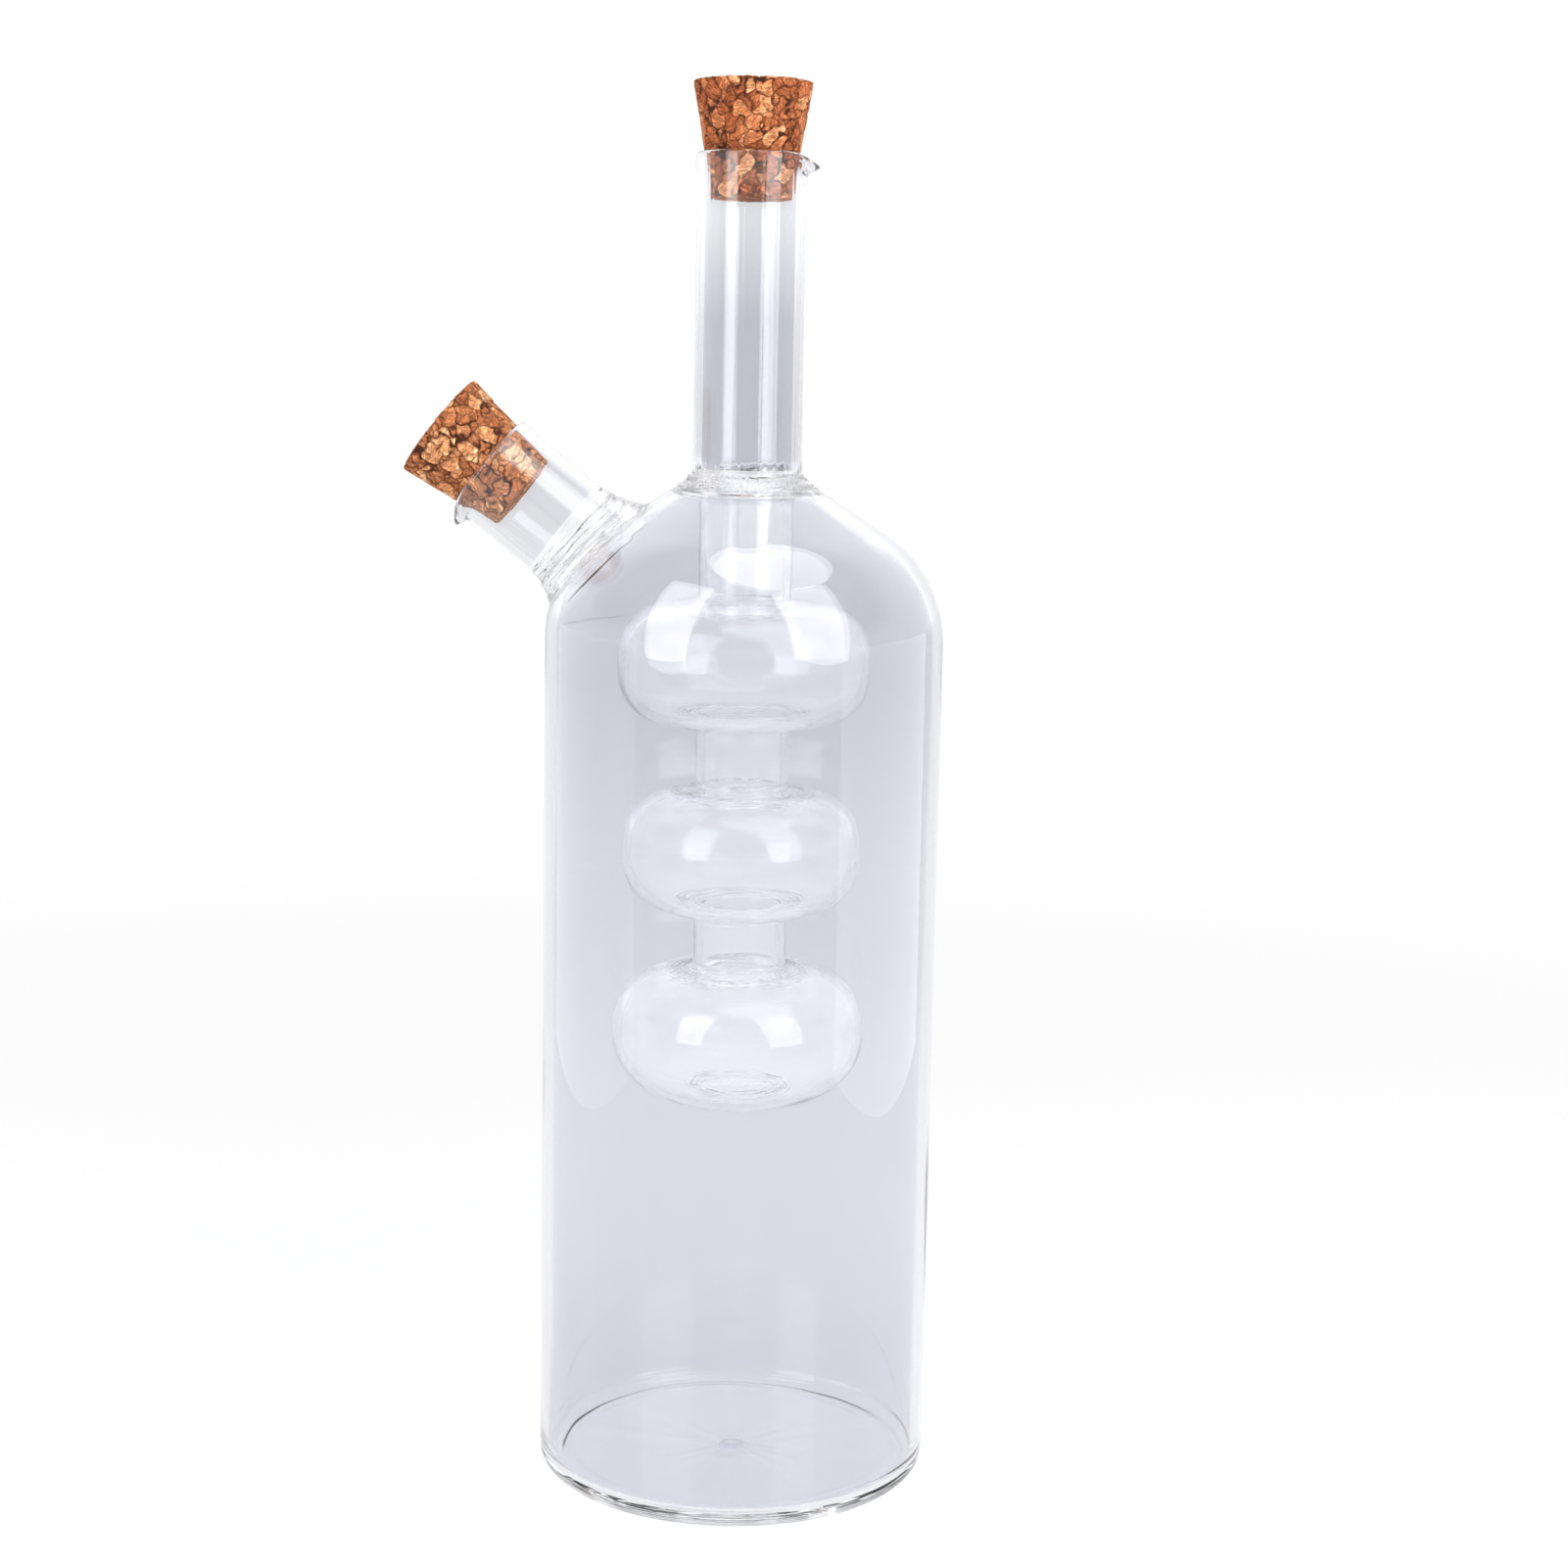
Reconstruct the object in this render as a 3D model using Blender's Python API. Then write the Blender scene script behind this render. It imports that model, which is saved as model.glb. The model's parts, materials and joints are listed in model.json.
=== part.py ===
"""Dual oil and vinegar dispenser: a lamp-worked glass bottle inside a bottle, with two corks.

The outer bottle holds one liquid and pours it through the side spout. A vessel of three flattened
bulbs hangs inside it from the centre neck and holds the other. Each glass tube, bulb and weld ring is
its own solid, and the two corks pull out along the axes of their mouths.

Metres, +Z up. The origin is on the bottle's axis where it stands, the centre neck's pouring lip points
to +X and the side spout leaves towards -X.
"""

import math

import bmesh
import bpy
from mathutils import Matrix, Vector

MM = 0.001

# Fits
GAP = 0.3 * MM  # kept between neighbouring solids
OVERRUN = 5.0 * MM  # how far a cutter reaches past what it cuts
MERGE = 0.001 * MM  # points closer than this are one point

# Outer body
BODY_RADIUS = 35.0 * MM
BODY_WALL = 2.0 * MM
BASE_THICKNESS = 2.2 * MM
HEEL_RADIUS = 3.0 * MM
FLOOR_FILLET = 2.5 * MM
NUB_RADIUS = 3.2 * MM  # sealed end of the tube, at the middle of the floor
NUB_HEIGHT = 0.8 * MM
SHOULDER_START = 150.3 * MM  # height where the straight wall ends
SHOULDER_RADIUS = 22.3 * MM
SHOULDER_TURN = math.radians(57.5)  # turn of the shoulder's arc before it runs on as a cone

# Centre neck and the weld that it stands on
NECK_RADIUS = 9.5 * MM
NECK_WALL = 1.6 * MM
NECK_LENGTH = 53.7 * MM
NECK_WELD_HEIGHT = 3.1 * MM
NECK_WELD_REACH = 2.9 * MM  # how far the weld spreads past the neck
STEM_ROOT = 0.7 * MM  # how far the weld hangs below the shoulder's inner face
WELD_FULLNESS = 0.65  # of both welds' outer sides: 0 is a hollow quarter ellipse, 1 a straight slope

# Hanging inner vessel
STEM_RADIUS = 8.3 * MM
STEM_WALL = 1.6 * MM
STEM_LENGTH = 15.0 * MM
UPPER_LINK_LENGTH = 8.9 * MM
LOWER_LINK_LENGTH = 7.8 * MM
BULB_WALL = 1.5 * MM
BULB_FILLET = 1.0 * MM  # weld fillet between a bulb and its tube
UPPER_BULB_RADIUS = 22.4 * MM
UPPER_BULB_HEIGHT = 22.1 * MM
MIDDLE_BULB_RADIUS = 21.3 * MM
MIDDLE_BULB_HEIGHT = 21.9 * MM
LOWER_BULB_RADIUS = 22.5 * MM
LOWER_BULB_HEIGHT = 23.4 * MM
BULB_TOP_SQUARENESS = 2.6  # 2 is an ellipse, more fills its corners
UPPER_BULB_SQUARENESS = 2.6  # of the half below its middle
MIDDLE_BULB_SQUARENESS = 2.3
LOWER_BULB_SQUARENESS = 2.0
SEAL_DIMPLE = 0.8 * MM  # rise at the middle of the lower bulb's closed end

# Side spout and the weld that it stands on
SPOUT_RISE = math.radians(38.2)  # of its axis above the horizontal
SPOUT_AIM_DROP = 6.0 * MM  # its axis meets the bottle's axis this far below SHOULDER_START
SPOUT_RADIUS = 9.6 * MM
SPOUT_WALL = 1.55 * MM
SPOUT_LENGTH = 16.9 * MM
SPOUT_WELD_HEIGHT = 4.9 * MM  # above the shoulder, along the spout's axis
SPOUT_WELD_REACH = 3.1 * MM
SPOUT_WELD_BEVEL = 1.3 * MM  # widening of the bore where it opens into the chamber

# Mouths: both are flared a little and pinched into one pouring lip
MOUTH_FLARE = 0.25 * MM
MOUTH_FLARE_LENGTH = 6.0 * MM
LIP_REACH = 1.8 * MM
LIP_DROP = 1.9 * MM
LIP_DEPTH = 4.0 * MM  # length of tube that the lip is drawn from
LIP_HALF_WIDTH = math.radians(24)

# Corks
CORK_STAND = 12.0 * MM  # height above the rim
CORK_DEPTH = 8.0 * MM  # length inside the mouth
CORK_END_TAPER = 0.5 * MM  # narrowing of the pressed end over that length
CORK_EDGE = 0.4 * MM
CENTRE_CORK_TOP_RADIUS = 10.35 * MM
SIDE_CORK_STAND = 10.9 * MM
SIDE_CORK_TOP_RADIUS = 10.0 * MM
CORK_WRAP_STOP = math.radians(125)  # where the cork leaves the rounded rim

# Facets
BODY_FACETS = 56
MOUTH_FACETS = 40
TUBE_FACETS = 32
ARC_STEPS = 4

# Looks
GLASS_COLOUR = (0.90, 0.91, 0.94, 1.0)
CORK_COLOUR = (0.53, 0.29, 0.13, 1.0)
SHARP_EDGE = math.radians(35)


def clear_scene():
    for obj in list(bpy.data.objects):
        bpy.data.objects.remove(obj)


def glass(name):
    material = bpy.data.materials.new(name)
    material.use_nodes = True
    shader = material.node_tree.nodes["Principled BSDF"]
    shader.inputs["Base Color"].default_value = GLASS_COLOUR
    shader.inputs["Metallic"].default_value = 0.0
    shader.inputs["Roughness"].default_value = 0.03
    shader.inputs["IOR"].default_value = 1.47
    shader.inputs["Transmission Weight"].default_value = 1.0
    material.diffuse_color = GLASS_COLOUR
    return material


def cork(name):
    material = bpy.data.materials.new(name)
    material.use_nodes = True
    shader = material.node_tree.nodes["Principled BSDF"]
    shader.inputs["Base Color"].default_value = CORK_COLOUR
    shader.inputs["Metallic"].default_value = 0.0
    shader.inputs["Roughness"].default_value = 0.85
    material.diffuse_color = CORK_COLOUR
    return material


# Outlines, as lists of (radius, height) points


def arc(centre, radii, start, stop, steps=ARC_STEPS):
    """Points of an ellipse's arc round centre, with radii (across, up) and angles in radians."""
    angles = [start + (stop - start) * step / steps for step in range(steps + 1)]
    return [(centre[0] + radii[0] * math.cos(a), centre[1] + radii[1] * math.sin(a)) for a in angles]


def swell(centre, radii, start, stop, squareness):
    """Like arc, but of a superellipse: squareness 2 is an ellipse, more fills its corners."""
    points = []
    for unit in arc((0.0, 0.0), (1.0, 1.0), start, stop):
        across, up = [math.copysign(abs(share) ** (2 / squareness), share) for share in unit]
        points.append((centre[0] + radii[0] * across, centre[1] + radii[1] * up))
    return points


def flare(narrow, wide, fullness=0.0, steps=ARC_STEPS):
    """Outline from narrow, where it leaves along the axis, to wide, where it arrives running outwards."""
    points = []
    for step in range(steps + 1):
        turn = math.pi / 2 * step / steps
        straight = fullness * step / steps
        across = straight + (1 - fullness) * (1 - math.cos(turn))
        up = straight + (1 - fullness) * math.sin(turn)
        points.append((narrow[0] + (wide[0] - narrow[0]) * across, narrow[1] + (wide[1] - narrow[1]) * up))
    return points


def ease(share):
    """0 up to 1 with level ends."""
    share = min(max(share, 0.0), 1.0)
    return share * share * (3 - 2 * share)


# Solids


def turned(name, section, facets, material, height=0.0, parent=None):
    """Closed solid round +Z. section(angle) gives its outline there, a loop of (radius, height)."""
    body = bmesh.new()
    rows = []
    for facet in range(facets):
        angle = math.tau * facet / facets
        outline = section(angle)
        rows.append([body.verts.new((r * math.cos(angle), r * math.sin(angle), z)) for r, z in outline])
    for row, following in zip(rows, rows[1:] + rows[:1]):
        for here in range(len(row)):
            onward = (here + 1) % len(row)
            body.faces.new((row[here], following[here], following[onward], row[onward]))
    bmesh.ops.remove_doubles(body, verts=body.verts, dist=MERGE)
    bmesh.ops.recalc_face_normals(body, faces=body.faces)
    mesh = bpy.data.meshes.new(name)
    body.to_mesh(mesh)
    body.free()
    mesh.materials.append(material)
    mesh.shade_smooth()
    mesh.set_sharp_from_angle(angle=SHARP_EDGE)
    obj = bpy.data.objects.new(name, mesh)
    bpy.context.scene.collection.objects.link(obj)
    obj.location.z = height
    obj.parent = parent
    return obj


def same_all_round(outline):
    return lambda angle: outline


# Shoulder surface, shared by the body and by both welds


def above_shoulder(point, inset):
    """Signed distance of a point from the body's surface, moved inwards by inset."""
    radius = math.hypot(point[0], point[1])
    climb = point[2] - SHOULDER_START
    if climb < 0:
        return radius - (BODY_RADIUS - inset)
    across = radius - (BODY_RADIUS - SHOULDER_RADIUS)
    if math.atan2(climb, across) < SHOULDER_TURN:
        return math.hypot(across, climb) - (SHOULDER_RADIUS - inset)
    along_normal = across * math.cos(SHOULDER_TURN) + climb * math.sin(SHOULDER_TURN)
    return along_normal - (SHOULDER_RADIUS - inset)


def shoulder_height(radius, inset):
    """Height of the shoulder's cone at a radius near the neck."""
    across = radius - (BODY_RADIUS - SHOULDER_RADIUS)
    climb = SHOULDER_RADIUS - inset - across * math.cos(SHOULDER_TURN)
    return SHOULDER_START + climb / math.sin(SHOULDER_TURN)


def spout_frame():
    """Matrix of the spout's own frame: +Z out along its axis, -X down towards its lip."""
    aim = Vector((0.0, 0.0, SHOULDER_START - SPOUT_AIM_DROP))
    tilt = math.pi / 2 - SPOUT_RISE
    return Matrix.Translation(aim) @ Matrix.Rotation(-tilt, 4, "Y")


def shoulder_along_spout(radius, angle, inset):
    """Distance out along the spout's axis to the shoulder, at a radius and angle round that axis."""
    frame = spout_frame()
    near = 0.0
    far = 2 * BODY_RADIUS
    for _ in range(40):
        middle = (near + far) / 2
        point = frame @ Vector((radius * math.cos(angle), radius * math.sin(angle), middle))
        if above_shoulder(point, inset) < 0:
            near = middle
        else:
            far = middle
    return middle


# Sizes worked out from those above

BODY_BORE = BODY_RADIUS - BODY_WALL
NECK_BORE = NECK_RADIUS - NECK_WALL
STEM_BORE = STEM_RADIUS - STEM_WALL
SPOUT_BORE = SPOUT_RADIUS - SPOUT_WALL
NECK_FOOT = NECK_RADIUS + NECK_WELD_REACH
SPOUT_FOOT = SPOUT_RADIUS + SPOUT_WELD_REACH
NECK_WELD_TOP = shoulder_height(NECK_FOOT, 0.0) + NECK_WELD_HEIGHT
NECK_WELD_BOTTOM = shoulder_height(NECK_FOOT, BODY_WALL) - STEM_ROOT
NECK_RIM = NECK_WELD_TOP + GAP + NECK_LENGTH
SPOUT_CROSSING = shoulder_along_spout(0.0, 0.0, 0.0)
SPOUT_WELD_TOP = SPOUT_CROSSING + SPOUT_WELD_HEIGHT
SPOUT_RIM = SPOUT_WELD_TOP + GAP + SPOUT_LENGTH


def make_spout_cutter(parent):
    """Cylinder along the spout's axis that opens the shoulder for the weld ring."""
    inner_end = SPOUT_CROSSING - BODY_WALL - SPOUT_FOOT
    outer_end = SPOUT_CROSSING + OVERRUN
    radius = SPOUT_FOOT + GAP
    outline = [(0.0, inner_end), (radius, inner_end), (radius, outer_end), (0.0, outer_end)]
    cutter = turned("spout_cutter", same_all_round(outline), TUBE_FACETS, glass("cutter"), parent=parent)
    cutter.hide_render = True
    cutter.display_type = "WIRE"
    return cutter


def make_outer_body(cutter):
    """Straight wall, flat base with a rounded heel and domed shoulder, open at the neck and the spout."""
    hole = NECK_FOOT + GAP
    shoulder_centre = (BODY_RADIUS - SHOULDER_RADIUS, SHOULDER_START)
    heel_centre = (BODY_RADIUS - HEEL_RADIUS, HEEL_RADIUS)
    fillet_centre = (BODY_BORE - FLOOR_FILLET, BASE_THICKNESS + FLOOR_FILLET)
    inner_radius = SHOULDER_RADIUS - BODY_WALL
    outside = [(0.0, 0.0)]
    outside += arc(heel_centre, (HEEL_RADIUS, HEEL_RADIUS), -math.pi / 2, 0)
    outside += arc(shoulder_centre, (SHOULDER_RADIUS, SHOULDER_RADIUS), 0, SHOULDER_TURN, 2 * ARC_STEPS)
    outside += [(hole, shoulder_height(hole, 0.0))]
    inside = [(hole, shoulder_height(hole, BODY_WALL))]
    inside += arc(shoulder_centre, (inner_radius, inner_radius), SHOULDER_TURN, 0, 2 * ARC_STEPS)
    inside += arc(fillet_centre, (FLOOR_FILLET, FLOOR_FILLET), 0, -math.pi / 2)
    inside += arc((0.0, BASE_THICKNESS), (NUB_RADIUS, NUB_HEIGHT), 0, math.pi / 2, 2)
    body = turned("outer_body", same_all_round(outside + inside), BODY_FACETS, glass("outer_body_glass"))
    cut = body.modifiers.new("spout_hole", "BOOLEAN")
    cut.operation = "DIFFERENCE"
    cut.object = cutter
    return body


def make_neck_weld():
    """Ring of thick glass that joins the shoulder, the neck above it and the stem below it."""
    underside = shoulder_height(NECK_FOOT, BODY_WALL)
    foot = (NECK_FOOT, shoulder_height(NECK_FOOT, 0.0))
    outline = flare((NECK_RADIUS, NECK_WELD_TOP), foot, WELD_FULLNESS)
    outline += reversed(flare((STEM_RADIUS, NECK_WELD_BOTTOM), (NECK_FOOT, underside)))
    outline += [(STEM_BORE, NECK_WELD_BOTTOM), (STEM_BORE, underside)]
    outline += [(NECK_BORE, NECK_WELD_TOP - NECK_WELD_HEIGHT / 2), (NECK_BORE, NECK_WELD_TOP)]
    return turned("neck_weld", same_all_round(outline), TUBE_FACETS, glass("neck_weld_glass"))


def make_mouth_tube(name, radius, wall, length, lip_angle, height, parent=None):
    """Tube from height 0 to its rim, flared at the mouth and pinched into a lip at lip_angle."""
    rounding = wall / 2
    stations = [0.0, length - MOUTH_FLARE_LENGTH]
    stations += [length - LIP_DEPTH, length - LIP_DEPTH / 2, length - rounding]
    rim = arc((radius + MOUTH_FLARE - rounding, length - rounding), (rounding, rounding), 0, math.pi)

    def widened(z):
        return MOUTH_FLARE * ease((z - length + MOUTH_FLARE_LENGTH) / MOUTH_FLARE_LENGTH)

    outline = [(radius + widened(z), z) for z in stations[:-1]]
    outline += rim
    outline += [(radius - wall + widened(z), z) for z in reversed(stations[:-1])]

    def section(angle):
        turn = math.remainder(angle - lip_angle, math.tau)
        pinch = math.exp(-((turn / LIP_HALF_WIDTH) ** 2))
        points = []
        for r, z in outline:
            drawn = pinch * ease((z - length + LIP_DEPTH) / LIP_DEPTH)
            points.append((r + LIP_REACH * drawn, z - LIP_DROP * drawn))
        return points

    return turned(name, section, MOUTH_FACETS, glass(name + "_glass"), height, parent)


def make_straight_tube(name, length, top):
    outline = [(STEM_RADIUS, 0.0), (STEM_RADIUS, length), (STEM_BORE, length), (STEM_BORE, 0.0)]
    return turned(name, same_all_round(outline), TUBE_FACETS, glass(name + "_glass"), top - length)


def make_bulb(name, radius, height, squareness, top, closed):
    """Flattened hollow bulb below height top, with a filleted tube opening above and, unless closed, below.

    squareness is that of its lower half.
    """
    half = height / 2
    middle = STEM_RADIUS + BULB_FILLET
    quarter = math.pi / 2
    outer_radii = (radius - middle, half)
    inner_radii = (radius - middle - BULB_WALL, half - BULB_WALL)
    fillet = (BULB_FILLET, BULB_FILLET)
    fillet_inside = (STEM_RADIUS + BULB_FILLET - STEM_BORE, BULB_FILLET + BULB_WALL)
    above = (middle, half + BULB_FILLET)
    below = (middle, -half - BULB_FILLET)
    outside = arc(above, fillet, 2 * quarter, 3 * quarter, 2)
    outside += swell((middle, 0.0), outer_radii, quarter, 0, BULB_TOP_SQUARENESS)[1:]
    outside += swell((middle, 0.0), outer_radii, 0, -quarter, squareness)[1:]
    inside = swell((middle, 0.0), inner_radii, -quarter, 0, squareness)
    inside += swell((middle, 0.0), inner_radii, 0, quarter, BULB_TOP_SQUARENESS)[1:]
    inside += arc(above, fillet_inside, 3 * quarter, 2 * quarter, 2)[1:]
    if closed:
        outside += [(middle / 2, -half + SEAL_DIMPLE / 4), (0.0, -half + SEAL_DIMPLE)]
        floor = -half + BULB_WALL
        inside = [(0.0, floor + SEAL_DIMPLE), (middle / 2, floor + SEAL_DIMPLE / 4)] + inside
    else:
        outside += arc(below, fillet, quarter, 2 * quarter, 2)[1:]
        inside = arc(below, fillet_inside, 2 * quarter, quarter, 2) + inside[1:]
    section = same_all_round(outside + inside)
    return turned(name, section, TUBE_FACETS, glass(name + "_glass"), top - BULB_FILLET - half)


def make_inner_vessel(top):
    """Hangs the stem, the bulbs and the links one under the other below height top."""
    make_straight_tube("inner_stem", STEM_LENGTH, top)
    top -= STEM_LENGTH + GAP
    make_bulb("upper_bulb", UPPER_BULB_RADIUS, UPPER_BULB_HEIGHT, UPPER_BULB_SQUARENESS, top, closed=False)
    top -= UPPER_BULB_HEIGHT + 2 * BULB_FILLET + GAP
    make_straight_tube("upper_link_tube", UPPER_LINK_LENGTH, top)
    top -= UPPER_LINK_LENGTH + GAP
    make_bulb("middle_bulb", MIDDLE_BULB_RADIUS, MIDDLE_BULB_HEIGHT, MIDDLE_BULB_SQUARENESS, top, closed=False)
    top -= MIDDLE_BULB_HEIGHT + 2 * BULB_FILLET + GAP
    make_straight_tube("lower_link_tube", LOWER_LINK_LENGTH, top)
    top -= LOWER_LINK_LENGTH + GAP
    make_bulb("lower_bulb", LOWER_BULB_RADIUS, LOWER_BULB_HEIGHT, LOWER_BULB_SQUARENESS, top, closed=True)


def make_spout_weld(parent):
    """Saddle-shaped ring: its foot follows the shoulder's outer and inner faces all round."""
    bore_foot = SPOUT_BORE + SPOUT_WELD_BEVEL

    def section(angle):
        foot = (SPOUT_FOOT, shoulder_along_spout(SPOUT_FOOT, angle, 0.0))
        outline = flare((SPOUT_RADIUS, SPOUT_WELD_TOP), foot, WELD_FULLNESS)
        outline += [(SPOUT_FOOT, shoulder_along_spout(SPOUT_FOOT, angle, BODY_WALL))]
        opening = (bore_foot, shoulder_along_spout(bore_foot, angle, BODY_WALL))
        outline += [opening, (SPOUT_BORE, opening[1] + 2 * SPOUT_WELD_BEVEL), (SPOUT_BORE, SPOUT_WELD_TOP)]
        return outline

    return turned("spout_weld", section, TUBE_FACETS, glass("spout_weld_glass"), parent=parent)


def make_cork(name, mouth_radius, mouth_wall, top_radius, stand, height, parent=None):
    """Tapered cork whose waist is pressed round the mouth's rim. Its own height 0 is the rim."""
    rounding = mouth_wall / 2
    rim_centre = (mouth_radius + MOUTH_FLARE - rounding, -rounding)
    hug = (rounding + GAP, rounding + GAP)
    end_radius = mouth_radius - mouth_wall - GAP - CORK_END_TAPER
    outline = [(0.0, -CORK_DEPTH), (end_radius - CORK_EDGE, -CORK_DEPTH), (end_radius, CORK_EDGE - CORK_DEPTH)]
    outline += arc(rim_centre, hug, math.pi, CORK_WRAP_STOP, 2)
    outline += arc((top_radius - CORK_EDGE, stand - CORK_EDGE), (CORK_EDGE, CORK_EDGE), 0, math.pi / 2, 2)
    outline += [(0.0, stand)]
    return turned(name, same_all_round(outline), TUBE_FACETS, cork(name + "_granules"), height, parent)


def make_spout_axis():
    """Empty at the spout's aim point: the side spout, its weld and its cork are built along its +Z."""
    axis = bpy.data.objects.new("spout_axis", None)
    axis.matrix_world = spout_frame()
    bpy.context.scene.collection.objects.link(axis)
    return axis


def main():
    clear_scene()
    spout_axis = make_spout_axis()
    make_outer_body(make_spout_cutter(spout_axis))
    make_neck_weld()
    make_mouth_tube("centre_neck", NECK_RADIUS, NECK_WALL, NECK_LENGTH, 0.0, NECK_WELD_TOP + GAP)
    make_inner_vessel(NECK_WELD_BOTTOM - GAP)
    make_spout_weld(spout_axis)
    spout_foot = SPOUT_WELD_TOP + GAP
    make_mouth_tube("side_spout", SPOUT_RADIUS, SPOUT_WALL, SPOUT_LENGTH, math.pi, spout_foot, spout_axis)
    make_cork("centre_cork", NECK_RADIUS, NECK_WALL, CENTRE_CORK_TOP_RADIUS, CORK_STAND, NECK_RIM)
    make_cork("side_cork", SPOUT_RADIUS, SPOUT_WALL, SIDE_CORK_TOP_RADIUS, SIDE_CORK_STAND, SPOUT_RIM, spout_axis)


main()
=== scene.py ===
"""Looks of the dual oil and vinegar dispenser: clear lamp-worked glass and two agglomerated corks.

The glass is two thin skins of revolution with the spout let into them. The air skin runs from the base
up the outside, over the neck's rim and down into the hanging bulbs. The chamber skin lines the outer
bottle and wraps the bulbs. Each CAD node gets the closed piece of glass that lies between its stretches
of the two skins. Neighbours share their weld planes, which can't be seen, as in fused glass.
"""

import json
import math

import bpy
import numpy as np
from mathutils import Matrix, Vector, noise
from mathutils.geometry import delaunay_2d_cdt


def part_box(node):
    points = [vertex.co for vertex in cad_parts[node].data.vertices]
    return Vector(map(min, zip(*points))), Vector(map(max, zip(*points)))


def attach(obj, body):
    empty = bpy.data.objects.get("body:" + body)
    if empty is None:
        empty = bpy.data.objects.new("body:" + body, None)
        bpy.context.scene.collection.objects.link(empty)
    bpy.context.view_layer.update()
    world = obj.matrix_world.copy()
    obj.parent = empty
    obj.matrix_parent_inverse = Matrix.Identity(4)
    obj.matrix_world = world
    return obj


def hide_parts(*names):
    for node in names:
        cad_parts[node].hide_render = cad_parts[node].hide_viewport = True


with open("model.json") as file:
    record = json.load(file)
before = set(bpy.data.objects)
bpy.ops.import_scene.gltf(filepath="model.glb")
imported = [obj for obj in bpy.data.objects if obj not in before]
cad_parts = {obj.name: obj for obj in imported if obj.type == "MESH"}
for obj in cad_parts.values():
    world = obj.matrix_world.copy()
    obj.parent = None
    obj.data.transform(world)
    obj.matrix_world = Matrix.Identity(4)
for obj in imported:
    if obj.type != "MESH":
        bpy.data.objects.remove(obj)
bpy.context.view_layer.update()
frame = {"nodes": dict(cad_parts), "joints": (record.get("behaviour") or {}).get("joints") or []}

MM = 0.001

# Wall and weld sizes. Those that the CAD has too are as there, except NUB_RADIUS
GAP = 0.3 * MM
BODY_WALL = 2.0 * MM
BASE_THICKNESS = 2.2 * MM
HEEL_RADIUS = 3.0 * MM
FLOOR_FILLET = 2.5 * MM
NUB_RADIUS = 2.2 * MM  # of a bell shape, where the CAD has a dome of 3.2 mm
NUB_HEIGHT = 0.8 * MM
SHOULDER_START = 150.3 * MM
SHOULDER_RADIUS = 22.3 * MM
SHOULDER_TURN = math.radians(57.5)
NECK_WALL = 1.6 * MM
NECK_WELD_REACH = 2.9 * MM
WELD_HANDLE = 0.38  # share of a weld's size over which its outline bends
STEM_WALL = 1.6 * MM
BULB_WALL = 1.5 * MM
BULB_FILLET = 1.0 * MM
SEAL_DIMPLE = 0.8 * MM
SPOUT_WALL = 1.55 * MM
SPOUT_WELD_REACH = 3.1 * MM
SPOUT_BORE_FILLET = 4.5 * MM
BORE_HANDLE = 0.6
CROWN_HANDLES = (0.6, 0.7)
BULB_TOP_SQUARENESS = 2.6
BULB_SQUARENESS = {"upper_bulb": 2.6, "middle_bulb": 2.3, "lower_bulb": 2.0}
MOUTH_FLARE = 0.25 * MM
MOUTH_FLARE_LENGTH = 6.0 * MM
LIP_REACH = 1.8 * MM
LIP_DROP = 1.9 * MM
LIP_DEPTH = 4.0 * MM
LIP_HALF_WIDTH = math.radians(24)
LIP_BEAD = 0.22 * MM

# How finely the surfaces are cut
TURN_STEPS = 240
SPOUT_STEPS = 160
OUTLINE_STEP = 0.05 * MM
LONG_ROW = 2.0 * MM
BEND_ROW = 0.7 * MM
BULB_ROW = 0.28 * MM
FINE_ROW = 0.12 * MM
HEEL_ROW = 0.08 * MM
WELD_ROWS = 84
HALVINGS = 50
TINY = 1e-9


def hill(distance, width):
    return np.exp(-((distance / width) ** 2))


def ease(share):
    share = np.clip(share, 0.0, 1.0)
    return share * share * (3 - 2 * share)


def unit(vectors):
    return vectors / np.linalg.norm(vectors, axis=-1)[..., None]


def turn_angles(steps):
    return np.arange(steps) * math.tau / steps


# Outlines, as arrays of (radius, height) points


def arc(centre, radii, start, stop):
    count = max(4, math.ceil(abs(stop - start) * max(radii) / OUTLINE_STEP))
    angles = np.linspace(start, stop, count + 1)
    return np.column_stack((centre[0] + radii[0] * np.cos(angles), centre[1] + radii[1] * np.sin(angles)))


def swell(centre, radii, start, stop, squareness):
    """Like arc, but of a superellipse: squareness 2 is an ellipse, more fills its corners."""
    shares = arc((0.0, 0.0), (max(radii), max(radii)), start, stop) / max(radii)
    return centre + np.array(radii) * np.sign(shares) * np.abs(shares) ** (2 / squareness)


def line(*corners):
    """Straight runs through the corners."""
    runs = []
    for start, stop in zip(corners, corners[1:]):
        count = max(1, math.ceil(math.dist(start, stop) / OUTLINE_STEP))
        runs.append(np.linspace(start, stop, count + 1)[:-1])
    return np.concatenate(runs + [np.array([corners[-1]])])


def sweep(start, leaving, arriving, stop, steps):
    """Bezier curve from start to stop, which leaves and arrives along the given handles."""
    start, leaving, arriving, stop = (np.asarray(v, float) for v in (start, leaving, arriving, stop))
    t = np.linspace(0, 1, steps + 1).reshape((-1,) + (1,) * start.ndim)
    handles = (start, start + leaving, stop - arriving, stop)
    weights = ((1 - t) ** 3, 3 * t * (1 - t) ** 2, 3 * t * t * (1 - t), t**3)
    return sum(weight * handle for weight, handle in zip(weights, handles))


def fillet(start, leaving, arriving, stop):
    return sweep(start, leaving, arriving, stop, math.ceil(math.dist(start, stop) / OUTLINE_STEP))


def joined(*outlines):
    return np.concatenate([outlines[0]] + [outline[1:] for outline in outlines[1:]])


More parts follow.
